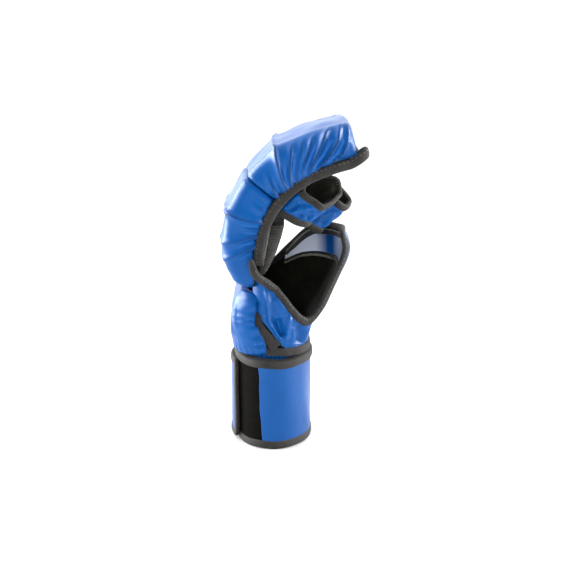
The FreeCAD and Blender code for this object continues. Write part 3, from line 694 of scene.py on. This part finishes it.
def girth_y(y, z):
    """Girth position on the palm where the sleeve reaches y."""
    g = np.linspace(1.0, 0.45, 400) * GIRTH
    return math.copysign(float(np.interp(abs(y), wall(g, np.full(400, z), 0.0)[:, 1], g)), y)


def on_side(places, side, wrap=0.0):
    """Line of (girth, z) through (x, z) places on the thumb (-1) or little-finger (1) side."""
    return [(girth_x(x, z, side) - wrap, z) for x, z in places]


def on_palm(places):
    """Line of (girth, z) through (y, z) places on the palm, running on from the thumb side."""
    return [(girth_y(y, z) - (WRAP if y > 0 else 0), z) for y, z in places]


def palm_top(*across):
    return [(y, float(lerp(PALM_TOP, y))) for y in across]


def line_distance(p, line):
    """Distance from each (x, z) to a line of points, and the share of the way along it."""
    p, line = np.asarray(p, float), np.asarray(line, float)
    best, along = np.full(p.shape[:-1], 1e9), np.zeros(p.shape[:-1])
    for k, (a, b) in enumerate(zip(line, line[1:])):
        t = np.clip(((p - a) @ (b - a)) / ((b - a) @ (b - a)), 0, 1)
        d = np.linalg.norm(p - a - t[..., None] * (b - a), axis=-1)
        along = np.where(d < best, (k + t) / (len(line) - 1), along)
        best = np.minimum(best, d)
    return best, along


def fold(p, line, width, height):
    """Relief of a ridge (height > 0) or a valley along a line of (x, z) points, weaker at its ends."""
    d, t = line_distance(p, line)
    return height * np.exp(-((d / width) ** 2)) * (0.25 + 0.75 * smooth(t / 0.2) * smooth((1 - t) / 0.2))


def panel(bottom, top, rows, columns):
    """Grid of (girth, z) between two edges."""
    low, high = spline(bottom, columns), spline(top, columns)
    t = np.linspace(0, 1, rows)[:, None, None]
    return low * (1 - t) + high * t


def sleeve_panel(name, grid, out, material, thick, relief, *nodes):
    """One panel of the sleeve, riding on the hand."""
    points = on_wall(grid, out)
    beyond = on_wall(grid, out + 1.0)
    points = points + unit(beyond - points) * relief[..., None]
    seat(sheet(name, points, material, thick, grid), "hand", *nodes)


# ---- thumb gusset
foot = [(-12.4, 109.0), (-6.6, 100.5), (-1.0, 92.5), (3.6, 85.5), (9.0, 79.5), (20.0, SLEEVE_FOOT)]
bottom = on_side(foot, -1) + on_palm([(-29.7, SLEEVE_FOOT)])
top = on_side([(-12.4, 143.5)] + THUMB_RIM[1:] + [(26.0, 98.0)], -1) + on_palm([(-29.7, 99.5)])
grid = panel(bottom, top, 60, 90)
place = on_wall(grid, 0.0)[..., [0, 2]]
GUSSET_FOLDS = [  # (x, z) points, width, height
    ([(-3.5, 127.0), (-1.6, 115.5), (-1.0, 100.3), (3.5, 91.0), (7.6, 84.0)], 1.7, 3.3),
    ([(13.0, 106.0), (11.7, 99.6), (10.2, 91.0), (9.0, 84.0)], 1.7, 2.8),
    ([(3.2, 104.0), (4.8, 94.0), (7.2, 88.0)], 3.3, -3.4),
    ([(18.0, 98.0), (19.2, 89.0), (17.0, 81.0)], 3.1, -3.2),
    ([(15.2, 97.0), (14.6, 90.0), (13.4, 83.0)], 2.6, 1.4),
    ([(25.0, 95.0), (24.6, 88.0), (24.0, 81.0)], 3.6, 1.2),
    ([(3.0, 120.0), (6.5, 111.0), (8.5, 102.0)], 5.0, 1.8),
]
relief = sum(fold(place, line, width, height) for line, width, height in GUSSET_FOLDS)
relief = relief + 0.2 * wobble(np.concatenate([place, place[..., :1] * 0], -1), 20.0, 11)
up = np.linspace(0, 1, 60)[:, None]
relief = relief * smooth(up / 0.16) * smooth((1 - up) / 0.24) + 0.6 * smooth((1 - up) / 0.1)
sleeve_panel("thumb_gusset_skin", grid, LEATHER_OUT, BLUE, SKIN, relief, "thumb_gusset")
inside = np.minimum(relief - 0.5, 0.0)
sleeve_panel("thumb_gusset_inside", grid, LINING_OUT, LINING, KNIT, inside, "thumb_gusset_lining")

# ---- palm panel
bottom = on_palm([(y, SLEEVE_FOOT) for y in (-30, -15, -1, 1, 14, 28)])
corner = [(-29.8, 155.0), (-27.2, 159.6), (-21.5, 162.4), (-10.0, 162.3), (-1.0, 161.5)]
top = on_palm(corner + palm_top(1, 14, 28))
grid = panel(bottom, top, 90, 60)
soft = 0.5 * wobble(on_wall(grid, 0.0), 26.0, 12)
across, up = np.linspace(-1, 1, 60)[None], np.linspace(0, 1, 90)[:, None]
seam = np.abs(across) ** 8
relief = soft * (1 - seam) + 1.4 * (1 - across**2) * smooth((up - 0.05) / 0.3) - 0.3 * seam
sleeve_panel("palm_skin", grid, LEATHER_OUT, BLUE, SKIN, relief, "palm_panel")
sleeve_panel("palm_inside", grid, LINING_OUT, LINING, KNIT, relief * 0.5, "palm_lining")

for y in (-27.8, 26.0):
    line = spline(on_palm([(y, z) for z in np.linspace(82.0, 148.0, 12)]), 200)
    path = on_wall(line, 2.25)
    normals = on_wall(line, 4.0) - path
    seat(stitches("palm_seam_stitches", path, normals, 0.0, 0.0, THREAD), "hand")

# ---- little-finger gusset
bottom = [(girth_y(28.3, SLEEVE_FOOT), SLEEVE_FOOT)]
bottom += on_side([(x, SLEEVE_FOOT) for x in (18.0, 9.0, 0.0, -9.5)], 1)
top = [(girth_y(28.3, 158.0), 158.0)] + on_side(LITTLE_RIM[::-1], 1)
grid = panel(bottom, top, 80, 60)
up = np.linspace(0, 1, 80)[:, None]
gather = 0.7 * np.exp(-up * 80 / 9.0) * np.sin(grid[..., 0] * 1.15)
relief = 0.9 * wobble(on_wall(grid, 0.0), 20.0, 13) * smooth(up * 8) + gather
sleeve_panel("little_gusset_skin", grid, LEATHER_OUT, BLUE, SKIN, relief + 0.4, "little_gusset")
sleeve_panel("little_gusset_inside", grid, LINING_OUT, LINING, KNIT, relief * 0.3, "little_gusset_lining")

# ---- lining behind the hand
heights = np.linspace(77.5, 128.5, 44)  # carried up behind the main pad's lower edge
thumb_x = lerp([(78, 8.0), (87, 0.5), (100, -7.0), (128, -8.0)], heights)
little_x = lerp([(78, 6.0), (90, 0.0), (100, -7.0), (128, -8.5)], heights)
thumb_end = -np.array([girth for girth, _ in on_side(zip(thumb_x, heights), -1)])[:, None]
little_end = np.array([girth for girth, _ in on_side(zip(little_x, heights), 1)])[:, None]
across = np.linspace(-1, 1, 70)[None]
gg = np.where(across < 0, across * thumb_end, across * little_end)
zz = heights[:, None] + 0 * gg
grid = np.stack([gg, zz], -1)
points = wall(gg, zz, 0.7 + 0.3 * wobble(wall(gg, zz, 0.0), 18.0, 14))
# its foot turns in to meet the oval of the yoke
mid, deep, wide = 1.5, 21.3, 37.0
turn = np.arctan2(points[..., 1] / wide, (points[..., 0] - mid) / deep)
foot = np.stack([mid + deep * np.cos(turn), wide * np.sin(turn), zz], -1)
points += (foot - points) * smooth((81.5 - zz) / 4.0)[..., None]
seat(sheet("back_inside", points, LINING, KNIT, grid), "hand", "back_lining")

# ---- leather facing along the inside of the rim
FACING_TOP = [(-20.0, 152.4), (-10.0, 153.0), (4.0, 153.0), (20.0, 151.5), (28.0, 150.5)]
FACING_WIDE = 14.0
top = on_palm(FACING_TOP)
bottom = on_palm([(y, z - FACING_WIDE) for y, z in FACING_TOP])
top += on_side([(36.0, 151.5), (28.0, 149.6), (20.5, 144.4), (9.0, 133.4)], 1, WRAP)
bottom += on_side([(36.0, 137.3), (28.0, 137.0), (20.5, 135.6), (9.0, 130.6)], 1, WRAP)
grid = panel(bottom, top, 18, 110)
facing_low, facing_high = grid[0].copy(), grid[-1].copy()
relief = 0.15 * wobble(on_wall(grid, 0.0), 9.0, 15)
sleeve_panel("facing_skin", grid, -0.2, FACING, SKIN, relief - 0.1, "palm_facing")


def wall_band(name, line, out, width, height, material, ribs, taper, *nodes):
    """A band that lies on the sleeve along a line of (girth, z)."""
    path = on_wall(line, out)
    normals = on_wall(line, out + 1.5) - path
    profile = oval_profile(width, height)
    seat(sweep(name, path, normals, profile, material, ribs=ribs, taper=taper), "hand", *nodes)


line = facing_low + np.array([0.0, -0.9])
wall_band("facing_piping", spline(line, 150), -1.1, 2.0, 1.8, TAPE, 0.0, 1.0)
# the facing's top tape is real; it takes the lighter ribbed knit so that it reads as lit, which is painted
# light
line = facing_high[6:] + np.array([0.0, 1.9])
wall_band("facing_top_tape", spline(line, 180), -0.9, 5.0, 1.8, RIB, 0.05, 1.0)
# painted highlight: a thin pale cord inside the far rim stands for light falling on the rim tape there
line = facing_high[6:] + np.array([0.0, 4.2])
wall_band("rim_inside_highlight", spline(line, 180), -1.9, 1.0, 1.0, PIPING, 0.0, 1.0)
# painted highlight: a pale band under the facing, on the lining's rounded top edge
line = facing_low + np.array([0.0, -2.9])
wall_band("lining_edge", spline(line, 150), -0.6, 2.2, 1.5, LINING_EDGE_HIGHLIGHT, 0.1, 1.0)

# ---- one tape round the thumb opening, over the palm and down the little-finger side
over = [(-33.0, 98.6), (-30.6, 102.0)] + [(-30.0, z) for z in (110.0, 122.0, 134.0, 146.0)]
over += [(-29.6, 154.0), (-27.5, 159.5), (-22.0, 162.6), (-10.0, 162.3)] + palm_top(4.0, 18.0, 28.0)
rim = on_side(THUMB_RIM[2:] + [(24.5, 98.2)], -1) + on_palm(over) + on_side(LITTLE_RIM[::-1], 1, WRAP)
line = spline(rim, 500)
path = on_wall(line, 1.6)
normals = unit(on_wall(line, 3.1) - path)
# the thumb end of the tape climbs over the main pad's bound edge
climb = [(-15.4, -53.6, 149.0), (-14.6, -53.6, 144.1), (-13.0, -52.6, 138.9), (-10.0, -50.6, 134.8)]
climb += [(-5.6, -47.4, 131.0)]
path = spline(np.vstack([climb, path[::9]]), 540)
normals = np.vstack([np.repeat([[-0.1, -1.0, 0.1]], 40, 0), normals])
height = path[:, 2]
gathers = np.exp(-(((height - 99.0) / 9.0) ** 2)) + 0.35 * (path[:, 0] > 30)
narrow = lerp([(0, 0.45), (0.012, 0.8), (0.03, 1.0), (1.0, 1.0)], np.linspace(0, 1, len(path)))
rounded = oval_profile(6.0, 4.0)
rim_tape = sweep("rim_tape", path, normals, rounded, TAPE, ribs=0.32, where=gathers, taper=narrow)
seat(rim_tape, "hand", "thumb_opening_binding", "palm_rim_binding")
seat(stitches("rim_tape_stitches", path[12:], normals[12:], -1.6, 1.8, THREAD), "hand")

# ---- wrist vent and hem
vent = [(-12.9, 111.0), (-12.4, 105.5), (-9.6, 98.0), (-6.0, 91.5), (-1.6, 85.5), (2.4, 80.4)]
line = spline(on_side(vent, -1), 70)
taper = lerp([(0, 0.22), (0.12, 0.5), (0.4, 0.95), (1.0, 1.2)], np.linspace(0, 1, 70))
wall_band("vent_tape", line, 3.3, 7.4, 3.0, TAPE, 0.05, taper, "vent_binding")

hem_z = 76.9
side = [(x, hem_z) for x in (-4.5, 4.0, 12.0, 20.0)]
over = [(y, hem_z) for y in (-28.0, -12.0, 4.0, 20.0, 28.0)]
line = spline(on_side(side, -1) + on_palm(over) + on_side(side[::-1], 1, WRAP), 220)
line[:, 1] += 0.5 * np.sin(line[:, 0] * 0.11)
wall_band("hem_tape", line, 3.3, 6.2, 3.0, TAPE, 0.05, 1.0, "hem_binding")

# ======== wrist yoke ========
YOKE = [(61.5, 0.0, 21.6, 34.6), (66.0, 0.0, 21.8, 34.8), (70.3, 0.2, 22.2, 35.4), (73.5, 0.9, 22.4, 36.8),
        (77.0, 1.5, 21.8, 37.4)]


def oval_points(rows, count):
    """Grid of points on level ovals given as (z, centre x, half depth, half width)."""
    a = np.linspace(0, 2 * math.pi, count, endpoint=False)
    grid = [np.stack([cx + p * np.cos(a), q * np.sin(a), 0 * a + z], -1) for z, cx, p, q in rows]
    return np.array(grid), a


points, a = oval_points(spline(YOKE, 16), 140)
gather = 0.45 * np.sin(a * 46 + 1.5 * np.sin(a * 5)) * smooth(np.linspace(0, 1, 16) * 2)[:, None]
outward = unit(points * np.array([1.0, 0.6, 0.0]))
points = points + outward * gather[..., None]
obj = sheet("wrist_yoke_skin", points, BLUE, SKIN, closed=True, inner_face=LINING)
seat(obj, "hand", "wrist_yoke")

# ======== cushion behind the knuckles ========
CUSHION_LEFT = [(134.0, -11.4), (140.0, -11.6), (148.0, -11.6), (158.7, -10.7), (171.0, -8.2)]     # z, x
CUSHION_RIGHT = [(134.0, -5.5), (140.0, -2.0), (149.0, 2.4), (160.5, 6.2), (171.0, 8.8)]
CUSHION_HALF = 38.0
CUSHION_FOOT, CUSHION_HEAD = 134.0, 171.6
CUSHION_RIB, CUSHION_ROUND = 2.1, 2.6


def cushion():
    """A ribbed knit roll with rounded ends, and the piping down its thumb side."""
    z = np.arange(CUSHION_FOOT + 0.4, CUSHION_HEAD - 0.3, CUSHION_RIB / 5)[:, None]
    angle = np.linspace(0, 2 * math.pi, 150, endpoint=False)
    c, d = np.cos(angle), np.sin(angle)
    left, right = lerp(CUSHION_LEFT, z), lerp(CUSHION_RIGHT, z)
    from_end = np.minimum(z - CUSHION_FOOT, CUSHION_HEAD - z)
    round_in = CUSHION_ROUND * (1 - np.sqrt(1 - (1 - np.minimum(from_end / CUSHION_ROUND, 1.0)) ** 2))
    rib = 0.40 * np.sin(2 * math.pi * z / CUSHION_RIB)
    half_x = (right - left) / 2 - round_in + rib * 0.6
    x = (left + right) / 2 + half_x * np.sign(c) * np.abs(c) ** 0.55
    y = (CUSHION_HALF - round_in + rib) * np.sign(d) * np.abs(d) ** 0.22
    rings = np.stack(np.broadcast_arrays(x, y, z), -1)
    knit = tube("hand_cushion_knit", rings, np.stack(np.broadcast_arrays(z, angle * 20), -1), RIB)
    seat(knit, "hand", "hand_cushion")
    z = np.linspace(142.0, 169.5, 50)
    x = lerp([(142.0, -7.6), (152.0, -5.6), (171.0, -2.0)], z)
    path = np.stack([x, 0 * z - CUSHION_HALF - 0.25, z], 1)
    outward = np.repeat([[0.0, -1.0, 0.0]], 50, 0)
    seat(sweep("hand_cushion_piping", path, outward, oval_profile(1.5, 1.6), PIPING), "hand")


cushion()

# ======== finger loops ========
# name, y centre, half width, depth, then the distance along the finger of the base, at the back and
# under the finger, and of the tip, on the thumb side and on the other side; how far the other side
# flares out, and how much shallower the thumb side is
LOOPS = [
    ("index", -37.4, 11.9, 28.0, -14.5, -2.4, 14.0, 34.0, 7.0, 0.07),
    ("middle", -12.7, 12.0, 40.0, -12.0, -1.5, 24.0, 34.0, 0.5, 0.02),
    ("ring", 12.1, 12.0, 34.0, -12.0, -3.0, 20.0, 25.0, 0.5, 0.02),
    ("little", 36.3, 11.4, 26.0, -12.0, -4.0, 16.0, 12.0, 0.0, 0.0),
]
LOOP_BACK = np.array([10.6, 0.0, 191.0])
LOOP_BACK_TIP, LOOP_BACK_LEAN = 23.0, 0.95     # the back of a loop is cut shorter
LOOP_TURN = math.radians(42.0)
ALONG = np.array([math.cos(LOOP_TURN), 0.0, math.sin(LOOP_TURN)])
DOWN = np.array([math.sin(LOOP_TURN), 0.0, -math.cos(LOOP_TURN)])
SIDE = np.array([0.0, 1.0, 0.0])


def loop_ring(half, depth, tilt, inset, count):
    """Closed outline (a across, n down) of a finger loop, pulled in by inset, with the outward direction."""
    angle = np.linspace(0, 2 * math.pi, 240, endpoint=False)
    power = 2 / 4.0
    c, s = np.cos(angle), np.sin(angle)
    a = half * np.sign(c) * np.abs(c) ** power
    n = depth / 2 * (1 + np.sign(s) * np.abs(s) ** power)
    n = n * (1 - tilt + tilt * a / half) - 1.2 * (1 - smooth(n / 8.0))
    ring = spline(np.stack([a, n], 1), count, closed=True)
    tangent = unit(np.roll(ring, -1, 0) - np.roll(ring, 1, 0))
    out = np.stack([tangent[:, 1], -tangent[:, 0]], 1)
    return ring - out * inset, out


def loop_points(y, ring, t):
    """Points of a loop from (a, n) outline points and distances t along the finger."""
    return LOOP_BACK + SIDE * (y + ring[..., :1]) + DOWN * ring[..., 1:2] + ALONG * np.asarray(t)[..., None]


def finger_loop(name, y, half, depth, base_back, base_under, tip_near, tip_far, flare, tilt, seed):
    """One sewn loop: leather outside, knit inside, a folded tape on both rims."""
    body = name + "_loop"
    count, rows = 130, 34
    ring, out = loop_ring(half, depth, tilt, 1.3, count)
    low = np.clip(ring[:, 1] / depth, 0, 1)
    side = np.clip((ring[:, 0] / half + 1) / 2, 0, 1)
    begin = base_back + (base_under - base_back) * low
    # the thumb side runs out longest under the finger, the other side longest half way down
    near = tip_near + 5.0 * (low - 0.5)
    far = tip_far + flare - (2.0 + 2.2 * flare) * np.abs(low - 0.45)
    end = np.minimum(near * (1 - side) + far * side, LOOP_BACK_TIP + LOOP_BACK_LEAN * ring[:, 1])
    end = np.convolve(np.tile(end, 3), np.ones(7) / 7, "same")[count:2 * count]
    v = np.linspace(0, 1, rows)[:, None]
    t = (begin + 1.5) * (1 - v) + (end - 1.5) * v
    around = np.arange(count) / count * 2 * math.pi
    # folds that start at the sewn back and fan out towards the underside
    fan = around[None] * 6 + v * 4.2 + seed
    slant = np.maximum(np.sin(fan), -0.35) * 1.7 + 0.45 * np.sin(around[None] * 13 - v * 6.0 + 2.1 * seed)
    free = smooth((t - begin - 5.0) / 4.0) * smooth((end - 5.0 - t) / 4.0)
    slant = slant * free * smooth(low * 3)[None]
    waist = -0.9 * free * smooth(low * 2)[None]
    normal = SIDE * out[:, :1] + DOWN * out[:, 1:2]
    uv = np.stack([np.repeat(around[None] * 20, rows, 0), t], -1)
    flat = np.repeat(ring[None], rows, 0)
    outside = loop_points(y, flat, t) + normal * (slant + waist)[..., None]
    inside = loop_points(y, flat, t) + normal * (slant * 0.6 + waist - 1.7)[..., None]
    skin = sheet(body + "_skin", outside[:, ::-1], BLUE, SKIN, uv[:, ::-1], closed=True)
    knit = sheet(body + "_inside", inside[:, ::-1], LINING, KNIT, uv[:, ::-1], closed=True)
    pieces = [(skin, "leather"), (knit, "lining")]
    for label, edge, seed_add in (("base", begin + 2.6, 0), ("tip", end - 2.6, 3)):
        middle, _ = loop_ring(half, depth, tilt, 1.9, count)
        drift = edge + 0.4 * np.sin(around * 4 + seed + seed_add)
        path = loop_points(y, middle, drift) + normal * (0.25 * np.sin(around * 7 + seed_add))[:, None]
        profile = oval_profile(5.4, 3.4)
        tape = sweep(body + "_" + label + "_tape", path, normal, profile, TAPE, True, 0.16, 1.9)
        pieces.append((tape, label + "_binding"))
    for piece, node in pieces:
        seat(piece, body, name + "_loop_" + node)


for k, (name, y, half, depth, *ends) in enumerate(LOOPS):
    finger_loop(name, y, half - 0.2, depth - 0.3, *ends, 1.3 * k)

# ======== pad over the back of the hand ========
# height, outer back x, half width of the outside
BACK_ROWS = spline([(72.0, -30.5, 42.0), (76.0, -31.2, 44.0), (84.0, -30.6, 45.8), (94.0, -31.0, 46.8),
                    (105.0, -31.2, 47.0), (114.0, -30.0, 46.2), (121.5, -27.0, 44.5)], 200)
BACK_SEAM = [(70.0, -2.0), (78.0, -3.2), (86.0, -5.4), (94.0, -9.6), (104.0, -11.4), (124.0, -10.2)]  # z, x
BACK_CORNER = 21.0


def back_outline(z, count):
    """Outer line of the back pad at a height, from the thumb-side seam to the other seam, with normals."""
    x0, b = (np.interp(z, BACK_ROWS[:, 0], BACK_ROWS[:, k]) for k in (1, 2))
    seam = float(lerp(BACK_SEAM, z))
    r = BACK_CORNER
    turn = np.linspace(0, math.pi / 2, 12)
    half = [(seam, b)] if seam > x0 + r else []
    half += [(x0 + r - r * math.sin(q), b - r + r * math.cos(q)) for q in turn]
    half += [(x0, (b - r) * q) for q in (0.66, 0.33, 0.0)]
    half = np.array(half)
    line = np.vstack([half * [1, -1], half[::-1][1:]])
    line = spline(line[line[:, 0] <= seam + 0.01], count)
    tangent = unit(np.gradient(line, axis=0))
    return line, np.stack([-tangent[:, 1], tangent[:, 0]], 1)


def back_pad():
    """Outer face, then inner face, joined round all four edges."""
    rows, columns = 84, 150
    foot, head = 72.6, 121.0
    share = np.linspace(0, 1, columns)
    edge = np.minimum(share, 1 - share)
    across = edge * columns
    outer, inner = [], []
    for z in np.linspace(foot, head, rows):
        line, normal = back_outline(z, columns)
        v = (z - foot) / (head - foot)
        puff = -2.2 * np.exp(-edge * 30) - 3.5 * math.exp(-v * 14) - 3.6 * math.exp(-(1 - v) * 12)
        puff += np.exp(-across / 10.0) * np.sin(z * 1.02 + 0.11 * across + 1.2 * np.sin(z * 0.31))
        puff += math.exp(-(z - foot) / 6.0) * np.sin(share * columns * 0.9) * 0.45
        for face, flat in ((outer, line + normal * puff[:, None]), (inner, line - normal * 9.5)):
            face.append(np.column_stack([flat, 0 * share + z]))
        limit = float(lerp([(72, -21.0), (85, -16.0), (96, -12.0), (121, -10.0)], z))
        inner[-1][:, 0] = np.minimum(inner[-1][:, 0], limit)
    p = np.vstack(outer)
    relief = 0.55 * wobble(p, 24.0, 21)
    # long soft wrinkles down the thumb-side half
    wrinkles = (-33.0, 84.0, 112.0, -1.1), (-27.0, 80.0, 106.0, -0.8), (-38.0, 92.0, 116.0, -0.9)
    for y0, z0, z1, amount in wrinkles:
        d = p[:, 1] - (y0 + 0.10 * (p[:, 2] - z0))
        within = smooth((p[:, 2] - z0) / 8.0) * smooth((z1 - p[:, 2]) / 8.0)
        relief += amount * within * np.exp(-((d / 1.8) ** 2))
    count = rows * columns
    front = grid_faces(rows, columns)
    faces = front + [tuple(i + count for i in f[::-1]) for f in front]
    corners = np.arange(count).reshape(rows, columns)
    border = [*corners[0], *corners[1:, -1], *corners[-1, -2::-1], *corners[-2:0:-1, 0]]
    for a, b in zip(border, border[1:] + border[:1]):
        faces.append((b, a, a + count, b + count))
    obj = mesh_object("back_pad_skin", np.vstack([p] + inner), faces, BLUE)
    push(obj, np.concatenate([relief, np.zeros(count)]))
    add(obj, "SUBSURF", levels=1, render_levels=1)
    seat(bake(obj), "hand", "back_pad_cover", "back_pad_foam")


back_pad()


# ======== wrist cuff ========
CUFF_A, CUFF_B, CUFF_TALL = 29.0, 42.0, 70.0
CUFF_LOW, CUFF_HIGH = 1.35, 68.65
LEVELS = np.linspace(CUFF_LOW, CUFF_HIGH, 60)[:, None]


def oval_at(turn, out, z):
    """Points round the cuff at angles from +X, out mm outside its leather."""
    turn, z = np.broadcast_arrays(np.asarray(turn, float), np.asarray(z, float))
    normal = unit(np.stack([np.cos(turn) / CUFF_A, np.sin(turn) / CUFF_B], -1))
    flat = np.stack([CUFF_A * np.cos(turn), CUFF_B * np.sin(turn)], -1) + normal * np.asarray(out)[..., None]
    return np.concatenate([flat, z[..., None]], -1)


def cuff_patch(name, start, stop, out, material, thick, relief_size, seed, columns, *nodes):
    """A panel wrapped round the cuff between two edges, each given as angles at the levels in LEVELS."""
    v = LEVELS
    a = np.linspace(0, 1, columns)[None]
    turn = start * (1 - a) + stop * a
    relief = relief_size * wobble(oval_at(turn, 0.0, v), 30.0, seed)
    edges = smooth(np.minimum(a, 1 - a) * 14) * smooth(np.minimum(v - CUFF_LOW, CUFF_HIGH - v) / 4.0)
    points = oval_at(turn, out + relief * edges, v)
    obj = sheet(name, points, material, thick, np.stack([turn * 36, v + 0 * turn], -1))
    seat(obj, "hand", *nodes)


seam_turn = math.pi - math.acos(10.5 / CUFF_A)
# the leather's front edge on the thumb side runs slightly uneven
seam_wave = 0.12 * (1 - LEVELS / CUFF_TALL) - 0.035 - seam_turn
seam_wave = seam_wave + 0.012 * np.sin(LEVELS * 0.13 + 0.6) + 0.006 * np.sin(LEVELS * 0.37)
cuff_patch("cuff_skin", seam_wave, seam_turn, 0.0, BLUE, SKIN, 0.25, 31, 180, "cuff_leather")
pile_end = 2 * math.pi + seam_wave - 0.005
cuff_patch("cuff_pile", seam_turn + 0.005, pile_end, 0.1, LOOP_PILE, 1.3, 0.12, 32, 140, "cuff_loop_panel")

# ---- inner side of the cuff, quilted a little, with the foam inside it
v = np.linspace(CUFF_LOW, CUFF_HIGH, 46)[:, None]
a = np.linspace(0, 2 * math.pi, 150, endpoint=False)[None]
out = -4.4 + 0.3 * wobble(oval_at(a, 0.0, v), 22.0, 33)
obj = sheet("cuff_inside", oval_at(a, out, v), LINING, 0.9, closed=True)
seat(obj, "hand", "cuff_lining", "cuff_foam")


def cuff_tape(name, z, node, seed, middle, tall):
    """Folded tape over one rim of the cuff."""
    turn = np.linspace(0, 2 * math.pi, 260, endpoint=False)
    drift = 0.25 * np.sin(turn * 7 + seed) + 0.2 * np.sin(turn * 3 + 2 * seed)
    path = oval_at(turn, middle, z + drift)
    normals = oval_at(turn, 1.0, z + drift) - path
    obj = sweep(name, path, normals, oval_profile(6.6, tall, 4.5, 28), TAPE, True, 0.05, 1.7)
    seat(obj, "hand", node)
    away = tall / 2 - 1.5 if z < CUFF_TALL / 2 else 1.5 - tall / 2
    seat(stitches(name + "_stitches", path, normals, away, 3.2, THREAD), "hand")


cuff_tape("cuff_top_tape", CUFF_TALL - 3.5, "cuff_top_binding", 1.0, -2.6, 8.0)
cuff_tape("cuff_bottom_tape", 3.4, "cuff_bottom_binding", 2.3, -2.8, 7.0)

# ======== closing strap ========
STRAP_LOW, STRAP_HIGH = 2.0, 66.0
ROOT, END = math.radians(94.0), math.radians(208.0)
STRAP_OUT = 3.9        # outer face of the strap, outside the cuff leather


def strap_bend(obj):
    """Bakes the placement of a piece of the strap into its mesh."""
    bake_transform(obj)


v = np.linspace(STRAP_LOW + 1.6, STRAP_HIGH - 1.6, 56)[:, None]
a = np.linspace(0, 1, 170)[None]
end_edge = END - 0.01 + 0.012 * np.sin(v * 0.09)
turn = (ROOT + 0.01) * (1 - a) + end_edge * a
relief = 0.35 * wobble(oval_at(turn, 0.0, v), 34.0, 41)
edges = smooth(np.minimum(a, 1 - a) * 16) * smooth(np.minimum(v - v[0], v[-1] - v) / 5.0)
points = oval_at(turn, STRAP_OUT - 0.4 + 0.5 * edges + 0.6 * relief * edges, v)
strap = sheet("strap_skin", points, BLUE, 1.9, np.stack([turn * 38, v + 0 * turn], -1))
strap_bend(strap)
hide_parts("strap_root_leather", "strap_tip_leather")

v = np.linspace(STRAP_LOW + 3.0, STRAP_HIGH - 3.0, 40)[:, None]
a = np.linspace(math.radians(163.5), math.radians(204.0), 60)[None]
seat(sheet("strap_hook", oval_at(a, 2.0, v), HOOK_PILE, 0.6), "strap_tip", "strap_hook_panel")

# ---- one tape along both long edges and round the free end
low = [(ROOT + 0.04 + (END - ROOT - 0.07) * t, STRAP_LOW + 3.3) for t in np.linspace(0, 1, 30)]
corner_low = [(END - 0.015, STRAP_LOW + 4.2), (END, STRAP_LOW + 6.0)]
front = [(END + 0.012 * math.sin(z * 0.09), z) for z in np.linspace(12.0, 56.0, 12)]
corner_high = [(END, STRAP_HIGH - 6.0), (END - 0.015, STRAP_HIGH - 4.2)]
high = [(t, STRAP_HIGH - 3.3) for t, _ in low[::-1]]
edge_line = spline(np.array([(t * 36, z) for t, z in low + corner_low + front + corner_high + high]), 420)
path = oval_at(edge_line[:, 0] / 36, 2.9, edge_line[:, 1])
normals = oval_at(edge_line[:, 0] / 36, 5.0, edge_line[:, 1]) - path
tape = sweep("strap_tape", path, normals, oval_profile(5.0, 3.2, 3.4, 20), TAPE, ribs=0.05, pitch=1.7)
strap_bend(tape)
strap_bend(stitches("strap_stitches", path, normals, -1.3, 1.45, THREAD))
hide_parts("strap_root_lower_binding", "strap_root_upper_binding", "strap_tip_binding")


# ======== stage, light and camera ========
def studio():
    scene = bpy.context.scene
    bpy.ops.mesh.primitive_plane_add(size=6.0)
    floor = bpy.context.object
    floor.name = "floor"
    n = Nodes("pale_floor")
    n.surface(Base_Color=(0.80, 0.80, 0.80, 1), Roughness=0.9)
    floor.data.materials.append(n.material)

    world = bpy.data.worlds.new("studio")
    scene.world = world
    world.use_nodes = True
    n = Nodes.__new__(Nodes)
    n.tree = world.node_tree
    n.shader = n.tree.nodes["Background"]
    # a white room to look at, whose light is weaker on the camera's side
    toward = n.add("SeparateXYZ", Vector=n.add("TexCoord").outputs["Generated"]).outputs["Y"]
    seen = n.add("LightPath").outputs["Is Camera Ray"]
    strength = n.add("Mix", Factor=seen, A=n.remap(toward, -0.85, 0.35, 0.06, 2.3), B=1.0)
    n.surface(Color=(1, 1, 1, 1), Strength=strength.outputs["Result"])

    centre = Vector((0.010, 0.0, 0.125))
    # name, place, size, power, and whether it lights the cloth or only shows as a sheen on it
    lamps = (
        ("left_rim", (-0.85, 0.25, 0.35), (0.5, 0.9), 9.0, True, True),
        ("right_rim", (0.85, 0.10, 0.25), (0.3, 0.9), 6.0, True, True),
        ("left_sheen", (-0.82, 0.26, 0.38), (0.85, 1.1), 55.0, False, True),
        ("right_sheen", (0.80, -0.05, 0.50), (0.35, 0.9), 40.0, False, True),
        ("front_fill", (-0.12, -1.0, 0.48), (0.35, 0.35), 5.5, True, False),
    )
    for name, place, size, power, lights, shines in lamps:
        data = bpy.data.lights.new(name, "AREA")
        data.shape = "RECTANGLE"
        data.size, data.size_y = size
        data.energy = power
        lamp = bpy.data.objects.new(name, data)
        scene.collection.objects.link(lamp)
        lamp.location = place
        lamp.rotation_euler = (centre - Vector(place)).to_track_quat("-Z", "Y").to_euler()
        lamp.visible_diffuse = lights
        lamp.visible_glossy = shines

    data = bpy.data.cameras.new("camera")
    data.lens = 67.07
    data.sensor_width = 36.0
    camera = bpy.data.objects.new("camera", data)
    scene.collection.objects.link(camera)
    camera.location = (0.009, -0.800, 0.300)
    camera.rotation_euler = (math.radians(90 - 12.8), 0, 0)
    scene.camera = camera
    scene.view_settings.view_transform = "Standard"
    scene.cycles.use_denoising = True


studio()
